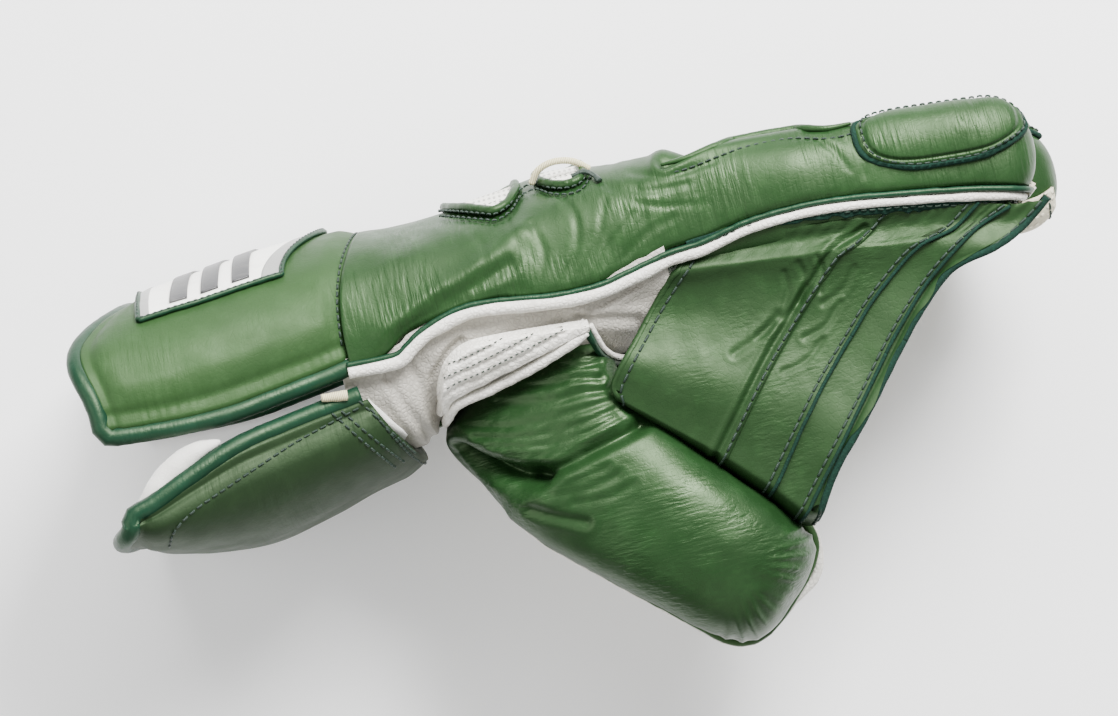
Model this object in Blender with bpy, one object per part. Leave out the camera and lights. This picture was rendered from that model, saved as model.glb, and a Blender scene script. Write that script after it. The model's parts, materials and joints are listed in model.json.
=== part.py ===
"""Left-hand wicket-keeping glove, lying on its little-finger edge with its cuff open.

Frame: +X runs from the cuff to the fingertips, +Y to the back of the hand, so the palm faces -Y,
and +Z is up, on the thumb side. Design coordinates are millimetres from the cuff's mouth, and
ORIGIN is the design point that becomes the world origin: the middle of the footprint.

Round sections lie in the YZ plane. An angle of 0 on a section faces up, to the thumb side,
90 degrees faces the back of the hand, and -90 degrees faces the palm.
"""

import math
from dataclasses import dataclass

import bmesh
import bpy
from mathutils import Vector

# ---------------------------------------------------------------- driving dimensions, mm
MM = 0.001
ORIGIN = (161.05, -35.36)
GAP = 0.4  # kept between pieces that touch

WRIST_X = 87.0  # the stitched line where both cuffs hinge
KNUCKLE_X = 187.0  # where the hand's panels end and the stalls begin
JOINT_GAP = 3.0  # left open at the knuckles for the stalls to bend

LEATHER = 2.2
HAND_FOAM = 5.0
LINING = 1.2
LINING_GAP = 1.0  # the cuff's lining hangs a little off its shell
CUFF_WALL = 6.0
STALL_WALL = 4.0
FACING = 1.8  # pimpled rubber on the palm side
BINDING_RADIUS = 2.5
BINDING_GAP = 1.1
CUFF_HEM = 3.0  # the cuff's binding stops this short of the wrist
EDGE_SCALE = 0.9  # mm to a degree round a cuff, once it is unrolled
WELT_RADIUS = 1.8

BACK_ANGLES = (6.0, 174.0)
BACK_GRID = (10, 15)  # lines of points along the back panel and round it
VENTS = (("rear_vent", 4, 5, 3, 6), ("front_vent", 6, 7, 4, 6))  # rows and columns of BACK_GRID
VENT_GAP = 0.5

FINGER_PITCH = 26.0
FINGER_HALF_WIDTH = 12.7
KNUCKLE_PIVOT_Y = 1.0
TIP_DOME = 15.0  # length of the rounded end of a stall
CAP_LENGTH = 40.0

THUMB_AXIS = Vector((math.cos(math.radians(-45.0)), math.sin(math.radians(-45.0))))
THUMB_SIDE = Vector((math.cos(math.radians(45.0)), math.sin(math.radians(45.0))))
THUMB_ROOT = 131.0  # distances along the thumb's axis
THUMB_END = 222.0
THUMB_NEAR = 45.5  # distances across it, from the outer side to the index side
THUMB_FAR = 92.6
THUMB_LOW = 62.0
THUMB_HIGH = 100.0
THUMB_WALL = 5.0
THUMB_TIP = 0.85  # the tip's rounding against half the thumb's width

WEB_THICK = 3.0
WEB_SEAM = 0.3  # each band stops this short of the seam beside it
WEB_INDEX_LOW = 94.6  # the index leaf slides under the thumb leaf
WEB_THUMB_LOW = WEB_INDEX_LOW + WEB_THICK + 0.6


@dataclass(frozen=True)
class Body:
    """A group of pieces that move together, and the point on its upright axis."""

    name: str
    pivot: tuple[float, float]


HAND = Body("hand", (WRIST_X, 0.0))
BACK_CUFF = Body("back_cuff", (WRIST_X, 39.0))
PALM_CUFF = Body("palm_cuff", (WRIST_X, -39.5))
INDEX = Body("index", (KNUCKLE_X + 1.5, KNUCKLE_PIVOT_Y))
MIDDLE = Body("middle", (KNUCKLE_X + 1.5, KNUCKLE_PIVOT_Y))
RING = Body("ring", (KNUCKLE_X + 1.5, KNUCKLE_PIVOT_Y))
LITTLE = Body("little", (KNUCKLE_X + 1.5, KNUCKLE_PIVOT_Y))
THUMB = Body("thumb", (157.0, -27.0))


@dataclass(frozen=True)
class Section:
    """A rounded-rectangle section at a place along X."""

    x: float
    y: float
    z: float
    half_y: float
    half_z: float


HAND_SECTIONS = (
    Section(87.0, 0.0, 56.0, 39.0, 50.0),
    Section(110.0, 5.0, 55.5, 33.0, 50.5),
    Section(140.0, 8.2, 55.0, 32.3, 51.0),
    Section(165.0, 10.5, 54.5, 32.5, 51.0),
    Section(187.0, 10.5, 54.0, 30.5, 50.5),
)
BACK_CUFF_SECTIONS = (
    Section(0.0, -4.5, 64.0, 35.0, 64.0),
    Section(24.0, -6.8, 62.0, 40.0, 61.0),
    Section(45.0, -7.0, 60.0, 42.2, 58.0),
    Section(64.0, -4.6, 58.0, 42.0, 54.0),
    Section(86.6, -1.0, 56.0, 40.0, 50.0),
)
PALM_CUFF_SECTIONS = (
    Section(0.0, -37.0, 64.0, 6.0, 64.0),
    Section(17.0, -33.5, 63.0, 13.0, 62.5),
    Section(30.0, -28.0, 62.0, 21.0, 61.0),
    Section(47.0, -21.4, 60.0, 28.8, 58.0),
    Section(64.0, -18.0, 58.0, 28.8, 54.0),
    Section(86.6, -14.6, 56.0, 25.0, 50.0),
)


# ---------------------------------------------------------------- materials
def make_material(name, colour, roughness):
    material = bpy.data.materials.new(name)
    material.use_nodes = True
    shader = material.node_tree.nodes["Principled BSDF"]
    shader.inputs["Base Color"].default_value = (*colour, 1.0)
    shader.inputs["Roughness"].default_value = roughness
    return material


PALETTE = {
    "green_leather": ((0.05, 0.15, 0.04), 0.42),
    "dark_green_leather": ((0.02, 0.08, 0.04), 0.5),
    "green_suede": ((0.02, 0.10, 0.06), 0.9),
    "white_leather": ((0.68, 0.66, 0.60), 0.5),
    "rubber_facing": ((0.62, 0.60, 0.50), 0.75),
    "mesh_fabric": ((0.60, 0.60, 0.56), 0.85),
    "cotton_lining": ((0.55, 0.55, 0.52), 0.95),
    "foam": ((0.75, 0.72, 0.60), 0.95),
    "cream_elastic": ((0.66, 0.62, 0.42), 0.8),
    "patch_film": ((0.80, 0.80, 0.78), 0.4),
}


# ---------------------------------------------------------------- mesh tools
class Bench:
    """Builds the named pieces and hangs each on its body's pivot."""

    def __init__(self):
        self.materials = {name: make_material(name, *look) for name, look in PALETTE.items()}
        self.pivots = {}

    def pivot(self, body):
        if body.name not in self.pivots:
            empty = bpy.data.objects.new(f"pivot_{body.name}", None)
            empty.location = to_world(Vector((*body.pivot, 0.0)))
            bpy.context.scene.collection.objects.link(empty)
            self.pivots[body.name] = empty
        return self.pivots[body.name]

    def add(self, name, body, material, points, faces):
        """Make one closed piece from design points and the faces that join them."""
        centre = Vector((*body.pivot, 0.0))
        shape = bmesh.new()
        verts = [shape.verts.new((point - centre) * MM) for point in points]
        for face in faces:
            corners = [verts[i] for i in dict.fromkeys(face)]
            if len(corners) > 2:
                shape.faces.new(corners)
        bmesh.ops.recalc_face_normals(shape, faces=shape.faces)
        mesh = bpy.data.meshes.new(name)
        shape.to_mesh(mesh)
        shape.free()
        mesh.materials.append(self.materials[material])
        mesh.shade_smooth()
        mesh.set_sharp_from_angle(angle=math.radians(40.0))
        piece = bpy.data.objects.new(name, mesh)
        piece.parent = self.pivot(body)
        bpy.context.scene.collection.objects.link(piece)
        return piece


def to_world(point):
    return Vector((point.x - ORIGIN[0], point.y - ORIGIN[1], point.z)) * MM


def blend(a, b, t):
    return a + (b - a) * t


def section_at(sections, x):
    """The section at x, read between its two neighbours."""
    low = sections[0]
    for high in sections[1:]:
        if x <= high.x:
            break
        low = high
    if low is high:
        return high
    t = (x - low.x) / (high.x - low.x)
    values = (blend(getattr(low, key), getattr(high, key), t) for key in ("y", "z", "half_y", "half_z"))
    return Section(x, *values)


def on_section(section, angle, outset, squareness=2.6):
    """A point on a section grown by outset, at an angle in degrees."""
    c = math.cos(math.radians(angle))
    s = math.sin(math.radians(angle))
    power = 2.0 / squareness
    y = math.copysign(abs(s) ** power, s) * (section.half_y + outset)
    z = math.copysign(abs(c) ** power, c) * (section.half_z + outset)
    return Vector((section.x, section.y + y, section.z + z))


def sheet(outer, inner, holes=()):
    """Points and faces of the body between two grids; a hole is (row, row, column, column)."""
    rows = len(outer)
    columns = len(outer[0])

    def is_there(row, column):
        inside = 0 <= row < rows - 1 and 0 <= column < columns - 1
        return inside and not any(a <= row < b and c <= column < d for a, b, c, d in holes)

    def top(row, column):
        return row * columns + column

    def under(row, column):
        return rows * columns + top(row, column)

    points = [point for row in outer for point in row] + [point for row in inner for point in row]
    faces = []
    for row in range(rows - 1):
        for column in range(columns - 1):
            if not is_there(row, column):
                continue
            corners = ((row, column), (row + 1, column), (row + 1, column + 1), (row, column + 1))
            faces.append([top(*corner) for corner in corners])
            faces.append([under(*corner) for corner in reversed(corners)])
            sides = (
                ((row, column - 1), corners[0], corners[1]),
                ((row + 1, column), corners[1], corners[2]),
                ((row, column + 1), corners[2], corners[3]),
                ((row - 1, column), corners[3], corners[0]),
            )
            for neighbour, a, b in sides:
                if not is_there(*neighbour):
                    faces.append([top(*b), top(*a), under(*a), under(*b)])
    return points, faces


def without_loose(points, faces):
    """The same body with only the points that its faces use."""
    used = sorted({i for face in faces for i in face})
    renamed = {old: new for new, old in enumerate(used)}
    return [points[i] for i in used], [[renamed[i] for i in face] for face in faces]


def panel(bench, name, body, material, sections, x_span, angles, outset, thickness, grid, holes=()):
    """A curved panel on the sections, between two places along X and two angles.

    Either end of x_span may be a function of the angle, for a shaped edge.
    """
    rows, columns = grid
    layers = []
    for depth in (outset, outset - thickness):
        layer = []
        for row in range(rows):
            line = []
            for column in range(columns):
                angle = blend(angles[0], angles[1], column / (columns - 1))
                ends = [end(angle) if callable(end) else end for end in x_span]
                x = blend(ends[0], ends[1], row / (rows - 1))
                line.append(on_section(section_at(sections, x), angle, depth))
            layer.append(line)
        layers.append(layer)
    points, faces = without_loose(*sheet(*layers, holes=holes))
    return bench.add(name, body, material, points, faces)


def plate(bench, name, body, material, outline, low, high, rounding=0.8):
    """A flat plate with a chamfered rim, from an outline in the XY plane."""
    path = [Vector((*point, 0.0)) for point in outline]
    area = sum(a.x * b.y - b.x * a.y for a, b in zip(path, path[1:] + path[:1]))
    if area < 0:
        path.reverse()
    shrunk = []
    for before, here, after in zip(path[-1:] + path[:-1], path, path[1:] + path[:1]):
        along = ((here - before).normalized() + (after - here).normalized()).normalized()
        shrunk.append(here + Vector((-along.y, along.x, 0.0)) * rounding)
    levels = ((shrunk, low), (path, low + rounding), (path, high - rounding), (shrunk, high))
    points = [Vector((point.x, point.y, z)) for ring, z in levels for point in ring]
    n = len(path)
    faces = [list(range(n))[::-1], list(range(3 * n, 4 * n))]
    for level in range(3):
        for i in range(n):
            j = (i + 1) % n
            faces.append([level * n + i, level * n + j, (level + 1) * n + j, (level + 1) * n + i])
    return bench.add(name, body, material, points, faces)


def wall(bench, name, body, material, path, thickness, low, high):
    """An upright wall that follows a path in the XY plane, thickness to the path's left."""
    outer = [Vector((*point, 0.0)) for point in path]
    inner = []
    for i, here in enumerate(outer):
        before = outer[max(i - 1, 0)]
        after = outer[min(i + 1, len(outer) - 1)]
        along = (after - before).normalized()
        inner.append(here + Vector((-along.y, along.x, 0.0)) * thickness)
    grids = [[[Vector((p.x, p.y, z)) for p in line] for z in (low, high)] for line in (outer, inner)]
    return bench.add(name, body, material, *sheet(*grids))


def tube(bench, name, body, material, path, radius, sides=8):
    """A round roll along a path, with flat ends."""
    rings = []
    for i, here in enumerate(path):
        along = (path[min(i + 1, len(path) - 1)] - path[max(i - 1, 0)]).normalized()
        side = along.cross(Vector((0.0, 0.0, 1.0)))
        if side.length < 0.2:
            side = along.cross(Vector((0.0, 1.0, 0.0)))
        side.normalize()
        up = side.cross(along)
        turns = (2.0 * math.pi * k / sides for k in range(sides))
        rings.append([here + (side * math.cos(t) + up * math.sin(t)) * radius for t in turns])
    points = [point for ring in rings for point in ring]
    faces = [list(range(sides)), list(range(len(points) - sides, len(points)))]
    for i in range(len(rings) - 1):
        for k in range(sides):
            m = (k + 1) % sides
            faces.append([i * sides + k, i * sides + m, (i + 1) * sides + m, (i + 1) * sides + k])
    return bench.add(name, body, material, points, faces)


# ---------------------------------------------------------------- cuffs
def back_cuff_front(angle):
    """Where the back cuff's mouth edge lies along X: rounded corners, set back over the middle."""
    turn = math.radians(angle)
    return 2.0 + 22.0 * math.sin(turn) ** 4 + 9.0 * abs(math.cos(turn)) ** 6


def palm_cuff_front(angle):
    """The palm cuff's mouth edge, with its corners cut back into a leaf shape."""
    return 8.0 + 6.0 * abs(math.cos(math.radians(angle))) ** 8


def edge_path(sections, front, last, reach, outset):
    """The route of a binding: out along one long edge, round the mouth and back along the other.

    The cuff is thought of as unrolled flat, with EDGE_SCALE millimetres to a degree, and the
    route keeps reach away from its edge there. last is the angle of the second long edge.
    """
    turn = math.copysign(1.0, last)
    flat = [(blend(WRIST_X - CUFF_HEM, front(0.0) + 5.0, k / 5), 0.0) for k in range(6)]
    flat += [(front(last * k / 20), last * k / 20) for k in range(21)]
    flat += [(x, last) for x, _ in reversed(flat[:6])]
    path = []
    for i, (x, angle) in enumerate(flat):
        before = flat[max(i - 1, 0)]
        after = flat[min(i + 1, len(flat) - 1)]
        along = Vector((after[0] - before[0], (after[1] - before[1]) * EDGE_SCALE)).normalized()
        x += turn * -along.y * reach
        angle += turn * along.x * reach / EDGE_SCALE
        held = min(max(angle, min(0.0, last)), max(0.0, last))
        beyond = abs(angle - held) * EDGE_SCALE
        point = on_section(section_at(sections, x), held, outset)
        path.append(point - Vector((0.0, turn * beyond, 0.0)))
    return path


def build_back_cuff(bench):
    """The rounded gauntlet over the back of the wrist, its lining, rolled edge and patch."""
    angles = (0.0, 180.0)
    span = (back_cuff_front, WRIST_X - GAP)
    panel(bench, "back_cuff_shell", BACK_CUFF, "green_leather", BACK_CUFF_SECTIONS, span, angles,
          0.0, CUFF_WALL, (8, 15))
    lining = (lambda angle: back_cuff_front(angle) + 3.0, WRIST_X - 2.0)
    panel(bench, "back_cuff_lining", BACK_CUFF, "cotton_lining", BACK_CUFF_SECTIONS, lining, (4.0, 176.0),
          -CUFF_WALL - LINING_GAP, LINING, (6, 13))
    reach = BINDING_RADIUS + BINDING_GAP
    path = edge_path(BACK_CUFF_SECTIONS, back_cuff_front, 180.0, reach, -CUFF_WALL / 2)
    tube(bench, "back_cuff_binding", BACK_CUFF, "dark_green_leather", path, BINDING_RADIUS)
    panel(bench, "cuff_patch", BACK_CUFF, "patch_film", BACK_CUFF_SECTIONS, (29.0, 79.0), (42.0, 118.0),
          GAP + 1.6, 1.6, (5, 8))


def build_palm_cuff(bench):
    """The leaf-shaped flap under the wrist, its lining, rolled edge and pull tab."""
    angles = (0.0, -180.0)
    span = (palm_cuff_front, WRIST_X - GAP)
    panel(bench, "palm_cuff_shell", PALM_CUFF, "green_leather", PALM_CUFF_SECTIONS, span, angles,
          0.0, CUFF_WALL, (8, 15))
    lining = (lambda angle: palm_cuff_front(angle) + 26.0, WRIST_X - 2.0)
    panel(bench, "palm_cuff_lining", PALM_CUFF, "cotton_lining", PALM_CUFF_SECTIONS, lining, (-8.0, -172.0),
          -CUFF_WALL - LINING_GAP, LINING, (6, 13))
    reach = BINDING_RADIUS + BINDING_GAP
    path = edge_path(PALM_CUFF_SECTIONS, palm_cuff_front, -180.0, reach, -CUFF_WALL / 2)
    tube(bench, "palm_cuff_binding", PALM_CUFF, "dark_green_leather", path, BINDING_RADIUS)
    tab = [on_section(section_at(PALM_CUFF_SECTIONS, x), -4.0, GAP + 1.4) for x in (76.0, 80.0, 84.0)]
    tube(bench, "pull_tab", PALM_CUFF, "cream_elastic", tab, 1.4)


# ---------------------------------------------------------------- hand
def build_hand(bench):
    """The hand's panels, layer by layer: leather outside, foam and lining within."""
    whole = (WRIST_X + GAP, KNUCKLE_X)
    inner = (WRIST_X + 3.0, KNUCKLE_X - 2.0)
    windows = [hole for _, *hole in VENTS]
    panel(bench, "back_panel", HAND, "green_leather", HAND_SECTIONS, whole, BACK_ANGLES,
          0.0, LEATHER, BACK_GRID, holes=windows)
    foam = -LEATHER - GAP
    panel(bench, "back_foam", HAND, "foam", HAND_SECTIONS, inner, (14.0, 166.0), foam, HAND_FOAM, (6, 11))
    panel(bench, "back_lining", HAND, "cotton_lining", HAND_SECTIONS, inner, (16.0, 164.0),
          foam - HAND_FOAM - GAP, LINING, (6, 11))
    build_windows(bench, whole)
    panel(bench, "side_gusset", HAND, "white_leather", HAND_SECTIONS, whole, (5.0, -43.5),
          0.0, LEATHER + 1.0, (7, 6))
    panel(bench, "quilted_panel", HAND, "white_leather", HAND_SECTIONS, (119.0, 163.0), (-6.0, -40.0),
          GAP + 3.0, 3.0, (5, 5))
    passage = ((2, 7, 1, 4),)
    panel(bench, "palm_panel", HAND, "green_leather", HAND_SECTIONS, whole, (-45.5, -134.0),
          0.0, LEATHER + 1.0, (10, 11), holes=passage)
    panel(bench, "palm_facing", HAND, "rubber_facing", HAND_SECTIONS, (104.0, KNUCKLE_X), (-84.0, -132.0),
          GAP + FACING, FACING, (5, 6))
    panel(bench, "ulnar_panel", HAND, "green_leather", HAND_SECTIONS, whole, (175.0, 225.0),
          0.0, LEATHER + 1.0, (6, 6))
    route = [on_section(section_at(HAND_SECTIONS, x), 1.0, GAP + WELT_RADIUS)
             for x in (92.0, 105.0, 120.0, 135.0, 150.0, 165.0, 184.0)]
    tube(bench, "hand_welt", HAND, "white_leather", route, WELT_RADIUS)


def build_windows(bench, whole):
    """Two mesh vents let into the back, and the elastic loop that bridges the smaller one."""
    step_x = (whole[1] - whole[0]) / (BACK_GRID[0] - 1)
    step_angle = (BACK_ANGLES[1] - BACK_ANGLES[0]) / (BACK_GRID[1] - 1)
    for name, row, next_row, first, last in VENTS:
        x_span = (whole[0] + row * step_x + VENT_GAP, whole[0] + next_row * step_x - VENT_GAP)
        angles = (BACK_ANGLES[0] + first * step_angle + 1.0, BACK_ANGLES[0] + last * step_angle - 1.0)
        panel(bench, name, HAND, "mesh_fabric", HAND_SECTIONS, x_span, angles, -GAP, 1.2, (3, 5))
    _, row, next_row, _, _ = VENTS[1]
    x = whole[0] + (row + next_row) / 2 * step_x
    section = section_at(HAND_SECTIONS, x)
    route = [on_section(section, angle, GAP + 1.3) for angle in (50.0, 58.0, 66.0, 74.0, 82.0)]
    tube(bench, "elastic_loop", HAND, "cream_elastic", route, 1.2)


def build_thumb_base(bench):
    """The part of the hand that the thumb grows out of, open to the hand's cavity."""
    roof = ((106.0, -27.0), (106.0, -34.0), (112.0, -44.0), (123.0, -58.0), (154.0, -29.0), (152.0, -26.0))
    plate(bench, "thumb_base_roof", HAND, "green_leather", roof, 94.0, 99.0)
    floor = ((109.0, -34.0), (112.0, -44.0), (123.0, -58.0), (154.0, -29.0), (150.0, -27.6), (125.0, -30.4))
    plate(bench, "thumb_base_floor", HAND, "rubber_facing", floor, THUMB_LOW, THUMB_LOW + 4.0)
    path = ((104.5, -30.5), (106.0, -34.0), (112.0, -44.0), (123.0, -58.0))
    wall(bench, "thumb_base_side", HAND, "green_leather", path, 4.0, THUMB_LOW + 4.4, 93.6)


# ---------------------------------------------------------------- fingers
@dataclass(frozen=True)
class Finger:
    """A stall, and how far its tip reaches and curls towards the palm."""

    name: str
    body: Body
    slot: int
    tip_x: float
    centre_y: float
    curl: float
    cap_angles: tuple[float, float]

    @property
    def centre_z(self):
        return FINGER_HALF_WIDTH + self.slot * FINGER_PITCH

    def sections(self):
        """Sections from the root to where the tip's dome starts."""
        root = KNUCKLE_X + JOINT_GAP
        dome = self.tip_x - TIP_DOME
        made = []
        for k in range(6):
            t = k / 5
            x = blend(root, dome, t)
            y = self.centre_y - self.curl * t * t
            made.append(Section(x, y, self.centre_z, 19.0 - 2.0 * t, FINGER_HALF_WIDTH))
        return tuple(made)


FINGERS = (
    Finger("little", LITTLE, 0, 283.0, 20.5, 8.0, (48.0, 132.0)),
    Finger("ring", RING, 1, 309.0, 20.5, 11.0, (48.0, 132.0)),
    Finger("middle", MIDDLE, 2, 321.0, 20.5, 12.0, (48.0, 132.0)),
    Finger("index", INDEX, 3, 313.0, 21.0, 4.0, (18.0, 135.0)),
)


def build_stall(bench, finger):
    """A thimble-shaped stall: open at the root and domed over the fingertip."""
    sections = finger.sections()
    last = sections[-1]
    sides = 14
    layers = []
    for depth in (0.0, -STALL_WALL):
        turns = [360.0 * k / sides for k in range(sides)]
        rings = [[on_section(section, turn, depth) for turn in turns] for section in sections]
        reach = finger.tip_x + depth - last.x
        for k in range(1, 4):
            t = k / 4
            size = math.sqrt(1.0 - t * t)
            height = (last.half_y + depth) * size
            width = (last.half_z + depth) * size
            ring = Section(last.x + reach * t, last.y - 2.0 * t, last.z, height, width)
            rings.append([on_section(ring, turn, 0.0) for turn in turns])
        layers.append((rings, Vector((last.x + reach, last.y - 2.6, last.z))))
    (outer, outer_pole), (inner, inner_pole) = layers
    rows = len(outer)
    points = [p for ring in outer for p in ring] + [p for ring in inner for p in ring]
    points += [outer_pole, inner_pole]
    under = rows * sides
    faces = []
    for k in range(sides):
        m = (k + 1) % sides
        for row in range(rows - 1):
            a, b = row * sides + k, row * sides + m
            faces.append([a, b, b + sides, a + sides])
            faces.append([under + b, under + a, under + a + sides, under + b + sides])
        end = (rows - 1) * sides
        faces.append([end + k, end + m, 2 * under])
        faces.append([under + end + m, under + end + k, 2 * under + 1])
        faces.append([m, k, under + k, under + m])
    bench.add(f"{finger.name}_stall", finger.body, "green_leather", points, faces)


def build_finger(bench, finger):
    """One finger: its stall, the rubber on its palm side and the pad over its tip."""
    build_stall(bench, finger)
    sections = finger.sections()
    dome = sections[-1].x
    panel(bench, f"{finger.name}_facing", finger.body, "rubber_facing", sections,
          (sections[0].x, dome), (-45.0, -135.0), GAP + FACING, FACING, (6, 5))
    panel(bench, f"{finger.name}_cap", finger.body, "green_leather", sections,
          (dome - CAP_LENGTH, dome), finger.cap_angles, GAP + 3.6, 3.6, (5, 6))


def build_index_trim(bench, index):
    """The white rolled welt along the index stall, and the raw suede edge under it."""
    sections = index.sections()
    span = (196.0, 210.0, 225.0, 240.0, 255.0, 270.0, 285.0, 296.0)
    route = [on_section(section_at(sections, x), -12.0, GAP + WELT_RADIUS) for x in span]
    tube(bench, "index_welt", INDEX, "white_leather", route, WELT_RADIUS)
    panel(bench, "index_suede_edge", INDEX, "green_suede", sections, (196.0, 296.0), (-17.5, -24.0),
          GAP + 2.2, 2.2, (6, 3))


# ---------------------------------------------------------------- thumb and web
def thumb_point(along, across):
    spot = THUMB_AXIS * along + THUMB_SIDE * across
    return (spot.x, spot.y)


def thumb_outline(inset):
    """The thumb's plan: straight sides and a rounded tip, with its root left square."""
    near = THUMB_NEAR + inset
    far = THUMB_FAR - inset
    middle = (near + far) / 2
    half = (far - near) / 2
    bend = THUMB_END - inset - half * THUMB_TIP
    points = [thumb_point(THUMB_ROOT, far), thumb_point(THUMB_ROOT, near)]
    for k in range(9):
        turn = math.pi * k / 8
        along = bend + half * THUMB_TIP * math.sin(turn)
        points.append(thumb_point(along, middle - half * math.cos(turn)))
    return points


def build_thumb(bench):
    """The thumb: a side wall round its cavity, a roof, a padded back and a rubber sole."""
    outline = thumb_outline(0.0)
    plate(bench, "thumb_sole", THUMB, "rubber_facing", outline, THUMB_LOW, THUMB_LOW + 5.0)
    plate(bench, "thumb_roof", THUMB, "green_leather", outline, THUMB_HIGH - 5.0, THUMB_HIGH)
    wall(bench, "thumb_side_wall", THUMB, "green_leather", outline[1:] + outline[:1], THUMB_WALL,
         THUMB_LOW + 5.0 + GAP, THUMB_HIGH - 5.0 - GAP)
    plate(bench, "thumb_back_pad", THUMB, "green_leather", thumb_outline(5.0), THUMB_HIGH + GAP,
          THUMB_HIGH + 6.0, 2.0)
    rim = [Vector((*point, THUMB_LOW - GAP - 1.4)) for point in thumb_outline(1.4)[1:]]
    tube(bench, "thumb_sole_welt", THUMB, "white_leather", rim, 1.4)


WEB_INDEX_EDGE = ((191.0, 0.6), (262.0, -0.4), (291.0, -3.2), (312.0, -5.4))
WEB_MIDDLE = ((183.0, -21.5), (217.0, -27.5), (246.0, -34.5), (264.0, -40.0))
WEB_THUMB_EDGE = ((171.0, -37.5), (191.6, -59.4), (206.0, -74.2), (215.0, -83.6))
WEB_BANDS = ("inner", "middle", "outer")


def bowed(a, b, sag, count):
    """Points from a to b along a bow that sags to the palm's crotch."""
    start = Vector(a)
    end = Vector(b)
    across = (end - start).orthogonal().normalized() * sag
    points = []
    for k in range(count):
        t = k / (count - 1)
        points.append(tuple(start.lerp(end, t) + across * (4.0 * t * (1.0 - t))))
    return points


def build_web(bench):
    """Three sewn bands of web, each parted at the middle into an index and a thumb leaf."""
    leaves = (
        ("index", INDEX, WEB_INDEX_EDGE, WEB_INDEX_LOW),
        ("thumb", THUMB, WEB_THUMB_EDGE, WEB_THUMB_LOW),
    )
    for side, body, edge, low in leaves:
        sag = 1.5 if side == "index" else -1.5
        for band, name in enumerate(WEB_BANDS):
            near = bowed(edge[band], WEB_MIDDLE[band], sag, 4)
            far = bowed(edge[band + 1], WEB_MIDDLE[band + 1], sag, 4)
            along = (Vector(edge[band + 1]) - Vector(edge[band])).normalized() * WEB_SEAM
            near = [(x + along.x, y + along.y) for x, y in near]
            far = [(x - along.x, y - along.y) for x, y in far]
            plate(bench, f"web_{name}_{side}_leaf", body, "dark_green_leather", near + far[::-1],
                  low, low + WEB_THICK, 0.7)


def main():
    for existing in list(bpy.data.objects):
        bpy.data.objects.remove(existing, do_unlink=True)
    bench = Bench()
    build_back_cuff(bench)
    build_palm_cuff(bench)
    build_hand(bench)
    build_thumb_base(bench)
    for finger in FINGERS:
        build_finger(bench, finger)
    build_index_trim(bench, FINGERS[-1])
    build_thumb(bench)
    build_web(bench)


main()
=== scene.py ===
"""Looks of the left-hand wicket-keeping glove: leather, rolled edges, stitching, web and padding.

Design coordinates are millimetres, as in the CAD model: x from the cuff's mouth to the fingertips,
y to the back of the hand and z up, on the thumb side. Layout turns them into the frame's metres.
"""

import json
import logging
import math
from collections.abc import Callable, Sequence
from dataclasses import dataclass, field
from enum import Enum

import bmesh
import bpy
import numpy as np
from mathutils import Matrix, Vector

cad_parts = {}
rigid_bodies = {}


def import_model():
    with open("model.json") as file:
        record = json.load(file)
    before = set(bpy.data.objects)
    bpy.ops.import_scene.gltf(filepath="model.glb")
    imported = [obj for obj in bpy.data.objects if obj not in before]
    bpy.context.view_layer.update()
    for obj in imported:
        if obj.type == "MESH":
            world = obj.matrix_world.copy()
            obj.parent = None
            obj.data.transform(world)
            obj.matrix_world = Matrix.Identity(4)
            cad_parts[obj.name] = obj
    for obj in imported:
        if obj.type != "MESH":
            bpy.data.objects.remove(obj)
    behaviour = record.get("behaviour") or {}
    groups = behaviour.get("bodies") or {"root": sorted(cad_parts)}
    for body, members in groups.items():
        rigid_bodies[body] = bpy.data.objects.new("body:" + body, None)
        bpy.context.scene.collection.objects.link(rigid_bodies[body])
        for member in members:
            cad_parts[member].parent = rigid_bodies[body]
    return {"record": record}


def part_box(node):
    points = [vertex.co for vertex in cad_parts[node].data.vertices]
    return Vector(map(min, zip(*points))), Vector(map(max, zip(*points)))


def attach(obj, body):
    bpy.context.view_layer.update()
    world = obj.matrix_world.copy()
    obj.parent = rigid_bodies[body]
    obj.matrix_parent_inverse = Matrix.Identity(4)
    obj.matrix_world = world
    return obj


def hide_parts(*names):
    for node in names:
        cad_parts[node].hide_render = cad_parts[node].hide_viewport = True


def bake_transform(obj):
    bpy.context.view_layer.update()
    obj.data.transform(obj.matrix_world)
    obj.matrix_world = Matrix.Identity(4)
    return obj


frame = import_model()
LOG = logging.getLogger("glove")
MM = 0.001
Point = tuple[float, float]
Place = tuple[float, float, float]
Array = np.ndarray
Colour = tuple[float, float, float, float]


class BodyName(str, Enum):
    """The rigid bodies of the frame that pieces ride on."""

    HAND = "hand"
    BACK_CUFF = "back_cuff"
    PALM_CUFF = "palm_cuff"
    INDEX = "index"
    MIDDLE = "middle"
    RING = "ring"
    LITTLE = "little"
    THUMB = "thumb"


class Slot(str, Enum):
    """The record's material slots."""

    GREEN = "green_leather"
    DARK = "dark_green_leather"
    SUEDE = "green_suede"
    WHITE = "white_leather"
    RUBBER = "rubber_facing"
    MESH = "mesh_fabric"
    LINING = "cotton_lining"
    ELASTIC = "cream_elastic"
    PATCH = "patch_film"


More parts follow.
